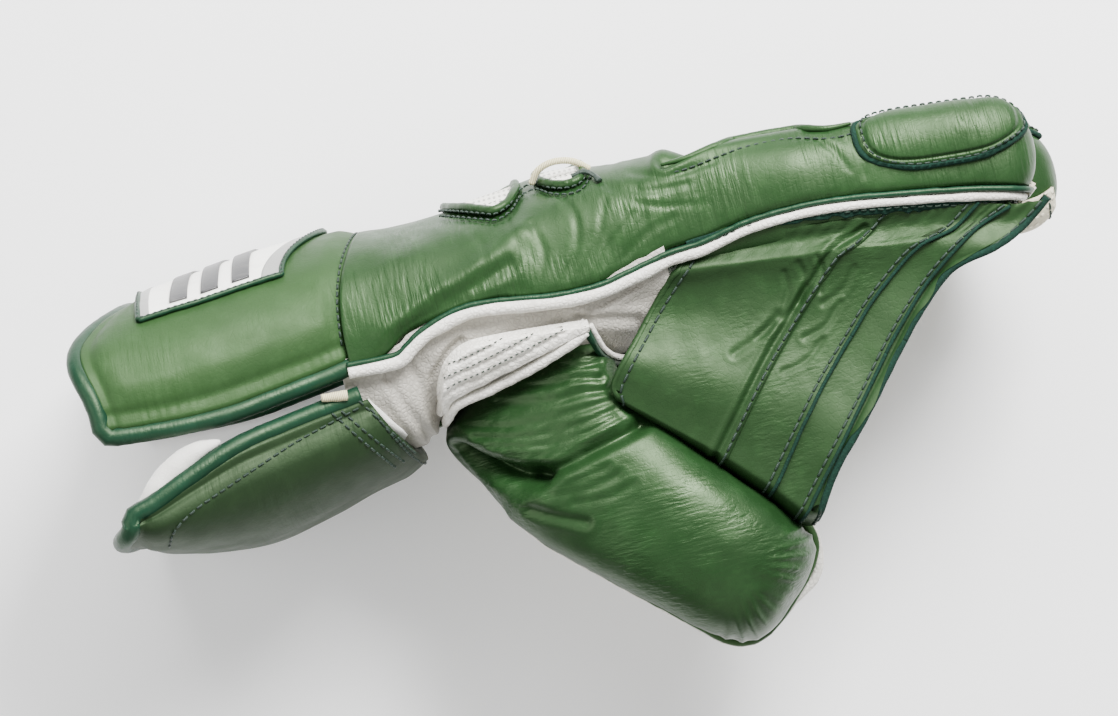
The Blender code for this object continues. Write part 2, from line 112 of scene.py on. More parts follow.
# ---------------------------------------------------------------- layout
class Layout:
    """Places design millimetres in the frame, from two known features of the CAD model."""

    FINGERTIP_X = 321.0
    KNUCKLE_Y = 1.0

    def __init__(self) -> None:
        """Reads the sizes that the design is laid out by."""
        joints = {joint["name"]: joint for joint in frame["record"]["behaviour"]["joints"]}
        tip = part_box("middle_stall")[1][0] / MM
        knuckle = joints["index_flex"]["pos_m"][1] / MM
        self.shift = np.array([tip - self.FINGERTIP_X, knuckle - self.KNUCKLE_Y, 0.0])

    def world(self, points: Array) -> Array:
        """Args: points in design millimetres. Returns: the same points in the frame's metres."""
        return (np.asarray(points, float) + self.shift) * MM

    def spot(self, x: float, y: float, z: float) -> tuple[float, float, float]:
        """Args: one design point. Returns: it in metres, as a tuple."""
        return tuple(float(value) for value in self.world(np.array([x, y, z])))


LAYOUT = Layout()


# ---------------------------------------------------------------- numbers
def curve(points: Sequence[Sequence[float]], count: int) -> Array:
    """A smooth curve through points.

    Args:
        points: the points it passes through, 2-D or 3-D.
        count: how many points to return, evenly spaced along it.

    Returns:
        An array of count points.
    """
    knots = np.asarray(points, float)
    padded = np.vstack([2 * knots[0] - knots[1], knots, 2 * knots[-1] - knots[-2]])
    dense = []
    for i in range(1, len(padded) - 2):
        a, b, c, d = padded[i - 1 : i + 3]
        t = np.linspace(0.0, 1.0, 24, endpoint=False)[:, None]
        dense.append(
            0.5 * (2 * b + (c - a) * t + (2 * a - 5 * b + 4 * c - d) * t**2 + (3 * b - a - 3 * c + d) * t**3)
        )
    dense = np.vstack([*dense, knots[-1:]])
    steps = np.linalg.norm(np.diff(dense, axis=0), axis=1)
    run = np.concatenate([[0.0], np.cumsum(steps)])
    wanted = np.linspace(0.0, run[-1], count)
    return np.stack([np.interp(wanted, run, dense[:, k]) for k in range(dense.shape[1])], axis=1)


def lattice(cell: Array, seed: int) -> Array:
    """Repeatable pseudo-random values, -1 to 1, for integer lattice cells.

    Args:
        cell: whole-number cells, three to a point.
        seed: which pattern.

    Returns:
        A value for each cell.
    """
    mixed = cell[..., 0] * 374761393 + cell[..., 1] * 668265263 + cell[..., 2] * 2147483647 + seed * 974711
    mixed = (mixed ^ (mixed >> 13)) * 1274126177
    mixed = (mixed ^ (mixed >> 16)) & 0xFFFFFF
    return mixed / 0x7FFFFF - 1.0


def noise(points: Array, size: float | Sequence[float], seed: int = 0) -> Array:
    """Smooth noise, -1 to 1, with features about size millimetres across.

    Args:
        points: where to read it.
        size: the features' size, or one for each axis.
        seed: which pattern.

    Returns:
        A value for each point.
    """
    scaled = np.asarray(points, float) / np.asarray(size, float)
    base = np.floor(scaled).astype(np.int64)
    t = scaled - base
    t = t * t * (3 - 2 * t)
    total = np.zeros(scaled.shape[:-1])
    for dx in (0, 1):
        for dy in (0, 1):
            for dz in (0, 1):
                weight = np.ones_like(total)
                for k, d in enumerate((dx, dy, dz)):
                    weight = weight * (t[..., k] if d else 1 - t[..., k])
                total += weight * lattice(base + np.array([dx, dy, dz]), seed)
    return total


def smooth(low: float, high: float, value: Array) -> Array:
    """Smoothstep from low to high."""
    t = np.clip((np.asarray(value, float) - low) / (high - low), 0.0, 1.0)
    return t * t * (3 - 2 * t)


def distance_to(path: Array, points: Array) -> Array:
    """Distance in the XY plane from each point to a polyline.

    Args:
        path: the polyline's points.
        points: the points to measure from.

    Returns:
        A distance for each point.
    """
    best = np.full(points.shape[:-1], 1e9)
    for a, b in zip(path[:-1], path[1:]):
        along = b[:2] - a[:2]
        length = float(along @ along) or 1e-9
        offset = points[..., :2] - a[:2]
        t = np.clip((offset @ along) / length, 0.0, 1.0)
        best = np.minimum(best, np.linalg.norm(offset - t[..., None] * along, axis=-1))
    return best


@dataclass(frozen=True)
class Fold:
    """A crease in the leather: a groove along a route, with a soft lip beside it."""

    route: tuple[Point, ...]
    width: float = 1.6
    depth: float = 1.0
    lip: float = 0.45

    def height(self, points: Array) -> Array:
        """Args: surface points. Returns: how far the fold lifts each of them, in millimetres."""
        away = distance_to(curve(self.route, 30), points) / self.width
        groove = -self.depth * np.exp(-(away**2))
        ridge = self.lip * self.depth * np.exp(-((away - 2.0) ** 2))
        return groove + ridge


def folded(points: Array, folds: Sequence[Fold]) -> Array:
    """The summed height of several folds.

    Args:
        points: where to read them.
        folds: the folds.

    Returns:
        A height for each point.
    """
    total = np.zeros(points.shape[:-1])
    for fold in folds:
        total += fold.height(points)
    return total


# ---------------------------------------------------------------- surfaces
class Skin:
    """A surface held as a grid of design points, rows by columns."""

    def __init__(self, points: Array, outward: Sequence[float], closed: bool = False) -> None:
        """Keeps the grid and finds its normals.

        Args:
            points: the grid, row by row.
            outward: a direction that the middle of the grid faces.
            closed: whether each row closes into a ring.
        """
        self.points = np.asarray(points, float)
        self.closed = closed
        self.outward = np.asarray(outward, float)
        self.normals = self.find_normals()

    def find_normals(self) -> Array:
        """Unit normals, facing the same way as outward does in the middle of the grid.

        Returns:
            A normal for each point of the grid.
        """
        if self.closed:
            wrapped = np.concatenate([self.points[:, -1:], self.points, self.points[:, :1]], axis=1)
            across = (wrapped[:, 2:] - wrapped[:, :-2]) / 2
        else:
            across = np.gradient(self.points, axis=1)
        down = np.gradient(self.points, axis=0)
        normals = np.cross(down, across)
        normals /= np.maximum(np.linalg.norm(normals, axis=-1, keepdims=True), 1e-9)
        middle = normals[normals.shape[0] // 2, self.reference_column()]
        return normals if middle @ self.outward > 0 else -normals

    def reference_column(self) -> int:
        """The column whose normal is compared with outward."""
        return 0 if self.closed else self.points.shape[1] // 2

    def raised(self, height: Array | float) -> "Skin":
        """The surface moved out along its normals by a height in millimetres."""
        lift = np.broadcast_to(np.asarray(height, float), self.points.shape[:-1])[..., None]
        return Skin(self.points + self.normals * lift, self.outward, self.closed)

    def at(self, u: Array, v: Array, lift: float = 0.0) -> tuple[Array, Array]:
        """Points and normals at fractions u down the rows and v along the columns.

        Args:
            u: shares of the way down the rows.
            v: shares of the way along the columns.
            lift: how far off the surface.

        Returns:
            The points and their normals.
        """
        rows, columns = self.points.shape[:2]
        r = np.clip(np.asarray(u, float), 0, 1) * (rows - 1)
        c = np.clip(np.asarray(v, float), 0, 1) * (columns - 1)
        r0 = np.minimum(r.astype(int), rows - 2)
        c0 = np.minimum(c.astype(int), columns - 2)
        fr = (r - r0)[:, None]
        fc = (c - c0)[:, None]

        def mixed(grid: Array) -> Array:
            """Blends the four grid values round each place.

            Args:
                grid: the values to blend.

            Returns:
                One value for each place.
            """
            top = grid[r0, c0] * (1 - fc) + grid[r0, c0 + 1] * fc
            low = grid[r0 + 1, c0] * (1 - fc) + grid[r0 + 1, c0 + 1] * fc
            return top * (1 - fr) + low * fr

        normals = mixed(self.normals)
        normals /= np.maximum(np.linalg.norm(normals, axis=1, keepdims=True), 1e-9)
        return mixed(self.points) + normals * lift, normals

    def drape(self, route: Array, lift: float = 0.0) -> tuple[Array, Array]:
        """Lays an XY route on the surface, at its nearest grid points seen from above.

        Args:
            route: XY points.
            lift: how far off the surface.

        Returns:
            The points and their normals.
        """
        flat = self.points.reshape(-1, 3)
        flat_normals = self.normals.reshape(-1, 3)
        upward = np.where(flat_normals[:, 2] > 0.05, 0.0, 1e6)
        spots, normals = [], []
        for x, y in route[:, :2]:
            gap = (flat[:, 0] - x) ** 2 + (flat[:, 1] - y) ** 2 + upward
            near = np.argsort(gap)[:6]
            weight = 1.0 / (gap[near] + 0.05)
            weight /= weight.sum()
            normal = (flat_normals[near] * weight[:, None]).sum(axis=0)
            normal /= np.linalg.norm(normal)
            height = (flat[near, 2] * weight).sum()
            spots.append(np.array([x, y, height]) + normal * lift)
            normals.append(normal)
        return np.array(spots), np.array(normals)


@dataclass(frozen=True)
class Section:
    """A rounded-rectangle section in the YZ plane at x."""

    x: float
    y: float
    z: float
    half_y: float
    half_z: float


class Form:
    """A lofted form through sections, read at any x and angle.

    An angle of 0 faces up, 90 degrees the back of the hand and -90 degrees the palm.
    """

    def __init__(self, sections: Sequence[Section], squareness: float = 2.6, dome: Point | None = None) -> None:
        """Keeps the sections in order.

        Args:
            sections: the sections along the form.
            squareness: 2 for an ellipse, more for a squarer section.
            dome: where a domed end starts and ends, if it has one.
        """
        self.squareness = squareness
        self.dome = dome
        knots = np.array([[s.x, s.y, s.z, s.half_y, s.half_z] for s in sections])
        self.table = curve(knots, 160)

    def read(self, x: Array) -> list[Array]:
        """The section's y, z, half_y and half_z at x; the last two shrink over a domed end.

        Args:
            x: places along the form.

        Returns:
            The four values at each place.
        """
        order = np.argsort(self.table[:, 0])
        y, z, half_y, half_z = (np.interp(x, self.table[order, 0], self.table[order, k]) for k in range(1, 5))
        if self.dome is not None:
            into = np.clip((x - self.dome[0]) / self.dome[1], 0.0, 0.9995)
            shrink = (1.0 - into**2.2) ** (1.0 / 2.2)
            half_y, half_z = half_y * shrink, half_z * shrink
        return [y, z, half_y, half_z]

    def surface(self, x: Array, degrees: Array) -> tuple[Array, Array]:
        """Points at x and angle, and the outward unit normals there.

        Args:
            x: places along the form.
            degrees: angles round it.

        Returns:
            The points and their normals.
        """
        x, degrees = np.broadcast_arrays(np.asarray(x, float), np.asarray(degrees, float))
        along = self.points(x + 0.3, degrees) - self.points(x - 0.3, degrees)
        round_it = self.points(x, degrees + 1.5) - self.points(x, degrees - 1.5)
        normals = np.cross(along, round_it)
        normals /= np.maximum(np.linalg.norm(normals, axis=-1, keepdims=True), 1e-9)
        points = self.points(x, degrees)
        y, z, _, _ = self.read(x)
        outward = np.stack([np.zeros_like(y), points[..., 1] - y, points[..., 2] - z], axis=-1)
        turned = np.sign((normals * outward).sum(axis=-1, keepdims=True))
        return points, normals * turned

    def points(self, x: Array, degrees: Array, outset: Array | float = 0.0) -> Array:
        """Points at x and angle, with the section grown by outset.

        Args:
            x: places along the form.
            degrees: angles round it.
            outset: how much the section is grown.

        Returns:
            The points.
        """
        y, z, half_y, half_z = self.read(x)
        c = np.cos(np.radians(degrees))
        s = np.sin(np.radians(degrees))
        power = 2.0 / self.squareness
        out_y = y + np.sign(s) * np.abs(s) ** power * (half_y + outset)
        out_z = z + np.sign(c) * np.abs(c) ** power * (half_z + outset)
        return np.stack([np.broadcast_to(x, out_y.shape), out_y, out_z], axis=-1)

    def angle_at(self, x: Array, y: Array) -> Array:
        """The angle on the thumb side at which the form reaches y.

        Args:
            x: places along the form.
            y: the heights to reach.

        Returns:
            The angles in degrees.
        """
        centre, _, half_y, _ = self.read(x)
        share = np.clip((y - centre) / half_y, -0.999, 0.999)
        return np.degrees(np.arcsin(np.sign(share) * np.abs(share) ** (self.squareness / 2.0)))


HAND = Form(
    (
        Section(80.0, -0.5, 56.5, 39.6, 50.3),
        Section(98.0, 2.5, 56.0, 36.4, 50.3),
        Section(110.0, 5.0, 55.5, 33.4, 50.6),
        Section(140.0, 8.2, 55.0, 32.5, 51.2),
        Section(165.0, 10.5, 54.5, 33.6, 51.2),
        Section(192.0, 10.5, 54.0, 30.4, 50.4),
    )
)
BACK_CUFF = Form(
    (
        Section(0.0, -4.5, 64.0, 35.0, 64.0),
        Section(24.0, -6.8, 62.0, 40.0, 61.0),
        Section(45.0, -7.0, 60.0, 42.6, 58.0),
        Section(64.0, -4.6, 58.0, 42.4, 54.2),
        Section(86.0, -1.0, 56.0, 40.2, 50.4),
        Section(100.0, 2.6, 56.0, 36.6, 50.4),
    )
)
PALM_CUFF = Form(
    (
        Section(0.0, -37.0, 64.0, 6.0, 64.0),
        Section(17.0, -33.5, 63.0, 13.0, 62.5),
        Section(30.0, -28.0, 62.0, 21.4, 61.0),
        Section(47.0, -21.4, 60.0, 29.2, 58.0),
        Section(64.0, -18.0, 58.0, 29.4, 54.2),
        Section(86.0, -14.6, 56.0, 27.0, 51.5),
        Section(104.0, -12.0, 55.0, 26.0, 52.5),
    )
)
WELT_ROUTE = ((80, -3), (101, -2.5), (106, 0), (112, 4), (124, 7.5), (135, 7.5), (154, 5), (168, 5), (178, 7),
              (192, 10), (203, 11), (218, 14), (235, 15), (251, 14), (266, 12), (291, 8), (311, 3))


# ---------------------------------------------------------------- riding
@dataclass(frozen=True)
class Look:
    """A material and the record's slot that its pieces belong to."""

    material: bpy.types.Material
    slot: Slot


@dataclass(frozen=True)
class Crossing:
    """Where leather passes over a joint, from the hand to the body that bends."""

    body: BodyName
    start: Place
    end: Place

    def apply(self, piece: bpy.types.Object) -> None:
        """Bakes the piece's placement into its mesh; the piece is not bent and rides on no body."""
        LAYOUT.spot(*self.start)
        LAYOUT.spot(*self.end)
        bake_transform(piece)


OVER_BACK_HINGE = Crossing(BodyName.BACK_CUFF, (104.0, 20.0, 60.0), (72.0, 20.0, 60.0))
OVER_PALM_HINGE = Crossing(BodyName.PALM_CUFF, (104.0, -20.0, 60.0), (70.0, -20.0, 60.0))


def settle(piece: bpy.types.Object, on: BodyName | Crossing | None, stands_for: Sequence[str]) -> None:
    """Hides the CAD nodes that a piece replaces, then attaches it to its body, or bakes its placement if it crosses a
    joint.

    Args:
        piece: the piece.
        on: the body it rides on or the joint it crosses; None leaves it unattached.
        stands_for: the CAD nodes that it replaces.
    """
    if stands_for:
        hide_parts(*stands_for)
    if isinstance(on, Crossing):
        on.apply(piece)
    elif on is not None:
        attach(piece, on.value)


# ---------------------------------------------------------------- meshes
def add_mesh(name: str, points: Array, faces: Sequence[Sequence[int]], look: Look) -> bpy.types.Object:
    """Adds one piece.

    Args:
        name: the piece's name.
        points: its vertices, in design millimetres.
        faces: vertex numbers of each face.
        look: its material and slot; only its material is applied.

    Returns:
        The new object.
    """
    mesh = bpy.data.meshes.new(name)
    mesh.from_pydata([tuple(p) for p in LAYOUT.world(points)], [], [list(map(int, f)) for f in faces])
    mesh.materials.append(look.material)
    mesh.shade_smooth()
    mesh.update()
    piece = bpy.data.objects.new(name, mesh)
    bpy.context.scene.collection.objects.link(piece)
    return piece


def grid_faces(rows: int, columns: int, closed: bool, start: int = 0, flip: bool = False) -> list[list[int]]:
    """Quads of a grid of vertices stored row by row.

    Args:
        rows: how many rows.
        columns: how many columns.
        closed: whether each row closes into a ring.
        start: the first vertex's number.
        flip: whether the faces turn the other way.

    Returns:
        The vertex numbers of each face.
    """
    faces = []
    spans = columns if closed else columns - 1
    for r in range(rows - 1):
        for c in range(spans):
            d = (c + 1) % columns
            quad = [start + r * columns + c, start + (r + 1) * columns + c,
                    start + (r + 1) * columns + d, start + r * columns + d]
            faces.append(quad[::-1] if flip else quad)
    return faces


def shell(name: str, skin: Skin, thickness: float, look: Look, tip: bool = False,
          on: BodyName | Crossing | None = None, stands_for: Sequence[str] = ()) -> bpy.types.Object:
    """A sheet of leather.

    Args:
        name: the piece's name.
        skin: its face.
        thickness: its thickness in millimetres.
        look: its material and slot.
        tip: whether its last ring is closed over a tip.
        on: the body it rides on or the joint it crosses.
        stands_for: the CAD nodes that it replaces.

    Returns:
        The new object.
    """
    rows, columns = skin.points.shape[:2]
    under = skin.points - skin.normals * thickness
    points = np.concatenate([skin.points.reshape(-1, 3), under.reshape(-1, 3)])
    middle = (rows // 2, skin.reference_column())
    down = skin.points[middle[0] + 1, middle[1]] - skin.points[middle]
    across = skin.points[middle[0], (middle[1] + 1) % columns] - skin.points[middle]
    flip = float(np.cross(down, across) @ skin.normals[middle]) < 0
    count = rows * columns
    faces = grid_faces(rows, columns, skin.closed, 0, flip)
    faces += grid_faces(rows, columns, skin.closed, count, not flip)
    edge = []
    if skin.closed:
        loops = [[r * columns + c for c in range(columns)] + [r * columns] for r in (0, rows - 1)]
        edge = [(loops[0], False)] if tip else [(loops[0], False), (loops[1], True)]
    else:
        loop = [c for c in range(columns)]
        loop += [r * columns + columns - 1 for r in range(1, rows)]
        loop += [(rows - 1) * columns + c for c in range(columns - 2, -1, -1)]
        loop += [r * columns for r in range(rows - 2, -1, -1)]
        edge = [(loop, False)]
    if tip:
        ring = [(rows - 1) * columns + c for c in range(columns)]
        faces.append(ring if flip else ring[::-1])
        if skin.closed:
            faces.append([count + i for i in (ring[::-1] if flip else ring)])
    for loop, turned in edge:
        for a, b in zip(loop[:-1], loop[1:]):
            quad = [a, b, count + b, count + a]
            faces.append(quad if turned == flip else quad[::-1])
    piece = add_mesh(name, points, faces, look)
    settle(piece, on, stands_for)
    return piece


def tube_points(route: Array, radius: Array | float, sides: int, squash: float = 1.0) -> Array:
    """Rings of points round a route, without twist.

    Args:
        route: the points along the middle.
        radius: its radius, or one for each point.
        sides: how many points make one ring.
        squash: the share that is left of its height.

    Returns:
        The vertices, ring by ring.
    """
    tangent = np.gradient(route, axis=0)
    tangent /= np.maximum(np.linalg.norm(tangent, axis=1, keepdims=True), 1e-9)
    side = np.cross(tangent[0], [0.0, 0.0, 1.0])
    if np.linalg.norm(side) < 0.2:
        side = np.cross(tangent[0], [0.0, 1.0, 0.0])
    radius = np.broadcast_to(np.asarray(radius, float), (len(route),))
    turns = np.linspace(0, 2 * math.pi, sides, endpoint=False)
    rings = []
    for here, along, size in zip(route, tangent, radius):
        side = side - along * (side @ along)
        side /= np.linalg.norm(side)
        up = np.cross(side, along)
        rings.append(here + size * (np.cos(turns)[:, None] * side + squash * np.sin(turns)[:, None] * up))
    return np.array(rings)


def roll(name: str, route: Array, radius: Array | float, look: Look, sides: int, pucker: float = 0.0,
         on: BodyName | Crossing | None = None, stands_for: Sequence[str] = ()) -> bpy.types.Object:
    """A rolled edge or a cord.

    Args:
        name: the piece's name.
        route: the points along its middle.
        radius: its radius, or one for each point.
        look: its material and slot.
        sides: how many points make one ring.
        pucker: the depth of the puckers across it, as a share of the radius.
        on: the body it rides on or the joint it crosses.
        stands_for: the CAD nodes that it replaces.

    Returns:
        The new object.
    """
    rings = tube_points(route, radius, sides)
    if pucker:
        centre = rings.mean(axis=1, keepdims=True)
        spoke = rings - centre
        wave = noise(rings, (2.6, 2.6, 2.6), 5) + 0.6 * noise(rings, (1.3, 1.3, 1.3), 9)
        rings = centre + spoke * (1.0 + pucker * wave[..., None])
    points = rings.reshape(-1, 3)
    count = len(route)
    faces = grid_faces(count, sides, True)
    faces.append(list(range(sides)))
    faces.append(list(range((count - 1) * sides, count * sides))[::-1])
    piece = add_mesh(name, points, faces, look)
    turn_outward(piece)
    settle(piece, on, stands_for)
    return piece


def turn_outward(piece: bpy.types.Object) -> None:
    """Makes a closed piece's faces point out.

    Args:
        piece: the piece to correct.
    """
    shape = bmesh.new()
    shape.from_mesh(piece.data)
    bmesh.ops.recalc_face_normals(shape, faces=shape.faces)
    shape.to_mesh(piece.data)
    shape.free()


@dataclass(frozen=True)
class Thread:
    """How a row of stitches is sewn, in millimetres."""

    pitch: float = 3.2
    length: float = 2.7
    radius: float = 0.36
    rise: float = 0.2
    slant: float = 0.0


def stitches(name: str, spots: Array, normals: Array, thread: Thread, on: BodyName | Crossing) -> None:
    """A row of raised thread stitches, in one piece.

    Args:
        name: the piece's name.
        spots: points along the seam.
        normals: the surface's normals there.
        thread: how the row is sewn.
        on: the body it rides on or the joint it crosses.
    """
    steps = np.linalg.norm(np.diff(spots, axis=0), axis=1)
    run = np.concatenate([[0.0], np.cumsum(steps)])
    count = max(int(run[-1] / thread.pitch), 1)
    sides = 6
    shape_t = np.array([-0.5, -0.36, 0.0, 0.36, 0.5])
    shape_h = np.array([-0.9, 0.35, 1.0, 0.35, -0.9])
    points, faces = [], []
    for k in range(count):
        middle = (k + 0.5) * run[-1] / count
        ends = []
        for place in (middle - 0.5 * thread.length, middle, middle + 0.5 * thread.length):
            ends.append([np.interp(place, run, spots[:, axis]) for axis in range(3)])
        along = np.array(ends[2]) - np.array(ends[0])
        along /= max(np.linalg.norm(along), 1e-9)
        up = np.array([np.interp(middle, run, normals[:, axis]) for axis in range(3)])
        up -= along * (up @ along)
        up /= max(np.linalg.norm(up), 1e-9)
        side = np.cross(along, up)
        along = along * math.cos(thread.slant) + side * math.sin(thread.slant)
        side = np.cross(along, up)
        base = len(points)
        for t, h in zip(shape_t, shape_h):
            centre = np.array(ends[1]) + along * t * thread.length + up * (thread.rise * h)
            for j in range(sides):
                turn = 2 * math.pi * j / sides
                points.append(centre + thread.radius * (math.cos(turn) * side + math.sin(turn) * up))
        faces += grid_faces(len(shape_t), sides, True, base)
        faces.append([base + j for j in range(sides)][::-1])
        faces.append([base + (len(shape_t) - 1) * sides + j for j in range(sides)])
    piece = add_mesh(name, np.array(points), faces, LOOKS.thread)
    turn_outward(piece)
    settle(piece, on, ())


# ---------------------------------------------------------------- materials
def linear(code: str) -> Colour:
    """Args: code, an sRGB colour such as '3a6a35'. Returns: it as linear RGBA."""
    channels = [int(code[i : i + 2], 16) / 255 for i in (0, 2, 4)]
    return (*(c / 12.92 if c <= 0.04045 else ((c + 0.055) / 1.055) ** 2.4 for c in channels), 1.0)


class Recipe:
    """A material's node tree under construction; mm holds its coordinates in millimetres."""

    def __init__(self, name: str) -> None:
        """Args: name, what the material is called."""
        self.material = bpy.data.materials.new(name)
        self.material.use_nodes = True
        self.tree = self.material.node_tree
        self.mm = self.add("Mapping", Vector=self.add("TexCoord", "Object"), Scale=(1.0 / MM,) * 3)

    def join(self, socket: bpy.types.NodeSocket, value: object) -> None:
        """Links a socket to another one, or sets its value.

        Args:
            socket: the input.
            value: another node's output, or a plain value.
        """
        if isinstance(value, bpy.types.NodeSocket):
            self.tree.links.new(value, socket)
        else:
            socket.default_value = value

    def add(self, kind: str, output: str | int = 0, settings: dict[str, str] | None = None,
            **inputs: object) -> bpy.types.NodeSocket:
        """Adds a node with its settings and links.

        Args:
            kind: the node's type, without ShaderNode.
            output: the name or number of the output that is wanted.
            settings: the node's own settings.
            inputs: a value or another node's socket for each input, by its name or, as in6, by its number.

        Returns:
            The wanted output.
        """
        node = self.tree.nodes.new(f"ShaderNode{kind}")
        for key, value in (settings or {}).items():
            setattr(node, key, value)
        for key, value in inputs.items():
            numbered = key.startswith("in") and key[2:].isdigit()
            self.join(node.inputs[int(key[2:]) if numbered else key.replace("_", " ")], value)
        return node.outputs[output]

    def finish(self, **inputs: object) -> bpy.types.Material:
        """Sets the shader.

        Args:
            inputs: a value or a node's socket for each of the shader's inputs, by name.

        Returns:
            The material.
        """
        shader = self.tree.nodes["Principled BSDF"]
        for key, value in inputs.items():
            self.join(shader.inputs[key.replace("_", " ")], value)
        return self.material


@dataclass(frozen=True)
class LeatherFinish:
    """Full-grain leather, drum-dyed and thinly polished: three shades, its gloss and its creases, in mm.

    To the eye: an uneven dark green with soft, broken highlights, a net of shallow cracks where it
    has bent, and fine wrinkles across the bend. Real grain is 0.2 mm, too fine to show, so it is
    drawn at 0.8 mm.
    """

    name: str
    deep: str
    body: str
    worn: str
    gloss: tuple[float, float] = (0.36, 0.5)
    crease: float = 2.2
    crease_depth: float = 0.06
    grain: float = 0.8
    grain_depth: float = 0.04
    wrinkle: float = 1.5
    run: tuple[float, float, float] = (1.0, 8.0, 8.0)
    wrinkle_depth: float = 0.3

    def make(self) -> bpy.types.Material:
        """Makes the material.

        Returns:
            The material.
        """
        recipe = Recipe(self.name)
        add, mm, rgba = recipe.add, recipe.mm, {"data_type": "RGBA"}
        # crazing: cells of the crease's size whose edges wander, dark in their cracks
        push = add("TexNoise", "Color", Vector=mm, Scale=0.7 / self.crease, Detail=2.0)
        push = add("VectorMath", settings={"operation": "SCALE"}, Vector=push, Scale=0.9 * self.crease)
        wandering = add("VectorMath", in0=mm, in1=push)
        crazed = add("TexVoronoi", settings={"feature": "DISTANCE_TO_EDGE"}, Vector=wandering,
                     Scale=1.0 / self.crease, Randomness=1.0)
        cracks = add("MapRange", Value=crazed, From_Max=0.12)
        # dye: cloudy over 30 mm, rubbed paler over 6 mm, and darker in the cracks
        broad = add("TexNoise", Vector=mm, Scale=1.0 / 30.0, Detail=3.0)
        cloud = add("MapRange", Value=broad, From_Min=0.25, From_Max=0.75, To_Min=0.55, To_Max=1.0)
        base = add("Mix", 2, rgba, in0=cloud, in6=linear(self.deep), in7=linear(self.body))
        fine = add("TexNoise", Vector=mm, Scale=1.0 / 6.0, Detail=4.0)
        rubbed = add("MapRange", Value=fine, From_Min=0.5, From_Max=0.85, To_Max=0.3)
        base = add("Mix", 2, rgba, in0=rubbed, in6=base, in7=linear(self.worn))
        dark = add("MapRange", Value=cracks, To_Min=0.14, To_Max=0.0)
        base = add("Mix", 2, rgba, in0=dark, in6=base, in7=linear(self.deep))
        # relief: 4.5 mm unevenness, wrinkles in 24 mm patches, the crazing and the grain
        uneven = add("TexNoise", Vector=mm, Scale=1.0 / 4.5, Detail=3.0)
        normal = add("Bump", Height=uneven, Distance=0.35 * MM, Strength=0.3)
        patches = add("TexNoise", Vector=mm, Scale=1.0 / 24.0, Detail=2.0)
        patches = add("MapRange", Value=patches, From_Min=0.42, From_Max=0.62)
        stretched = add("Mapping", Vector=mm, Scale=tuple(1.0 / run for run in self.run))
        lines = add("TexNoise", Vector=stretched, Scale=1.0 / self.wrinkle, Detail=2.0)
        lines = add("MapRange", Value=lines, From_Min=0.38, From_Max=0.6)
        lines = add("Math", settings={"operation": "MULTIPLY"}, in0=lines, in1=patches)
        normal = add("Bump", Height=lines, Distance=self.wrinkle_depth * MM, Strength=0.6, Normal=normal)
        normal = add("Bump", Height=cracks, Distance=self.crease_depth * MM, Strength=0.25, Normal=normal)
        grain = add("TexVoronoi", settings={"feature": "SMOOTH_F1"}, Vector=mm, Scale=1.0 / self.grain,
                    Randomness=1.0)
        normal = add("Bump", Height=grain, Distance=self.grain_depth * MM, Strength=0.45, Normal=normal)
        # polish: the gloss varies over 9 mm, and the wax over green dye tints the highlight
        polish = add("TexNoise", Vector=mm, Scale=1.0 / 9.0, Detail=3.0)
        shine = add("MapRange", Value=polish, From_Min=0.3, From_Max=0.7, To_Min=self.gloss[0], To_Max=self.gloss[1])
        return recipe.finish(Base_Color=base, Roughness=shine, Normal=normal, Coat_Roughness=0.3, IOR=1.5,
                             Specular_IOR_Level=0.36, Specular_Tint=(0.74, 1.0, 0.6, 1.0))


@dataclass(frozen=True)
class PebbledFinish:
    """Pigmented white hide, embossed with 1.5 mm pebbles and marked by handling.

    To the eye: a dry, bright surface of small soft bumps, with grey dirt between them and in smudges.
    """

    name: str
    stain: str
    body: str
    bright: str
    dirty: float = 0.5

    def make(self) -> bpy.types.Material:
        """Makes the material.

        Returns:
            The material.
        """
        recipe = Recipe(self.name)
        add, mm, rgba = recipe.add, recipe.mm, {"data_type": "RGBA"}
        push = add("TexNoise", "Color", Vector=mm, Scale=0.7 / 1.5, Detail=2.0)
        push = add("VectorMath", settings={"operation": "SCALE"}, Vector=push, Scale=0.3 * 1.5)
        wandering = add("VectorMath", in0=mm, in1=push)
        pebbles = add("TexVoronoi", settings={"feature": "DISTANCE_TO_EDGE"}, Vector=wandering, Scale=1.0 / 1.5,
                      Randomness=1.0)
        raised = add("MapRange", Value=pebbles, From_Max=0.25)
        smudges = add("TexNoise", Vector=mm, Scale=1.0 / 16.0, Detail=5.0)
        dirt = add("MapRange", Value=smudges, From_Min=0.4, From_Max=0.85, To_Max=self.dirty)
        mottle = add("TexNoise", Vector=mm, Scale=1.0 / 4.0, Detail=3.0)
        base = add("Mix", 2, rgba, in0=mottle, in6=linear(self.body), in7=linear(self.bright))
        between = add("MapRange", Value=raised, To_Min=0.4, To_Max=0.0)
        base = add("Mix", 2, rgba, in0=between, in6=base, in7=linear(self.stain))
        base = add("Mix", 2, rgba, in0=dirt, in6=base, in7=linear(self.stain))
        soft = add("TexNoise", Vector=mm, Scale=1.0 / 6.0, Detail=3.0)
        normal = add("Bump", Height=soft, Distance=0.5 * MM, Strength=0.5)
        normal = add("Bump", Height=raised, Distance=0.16 * MM, Strength=0.8, Normal=normal)
        dull = add("MapRange", Value=dirt, To_Min=0.5, To_Max=0.68)
        return recipe.finish(Base_Color=base, Roughness=dull, Normal=normal, IOR=1.48)


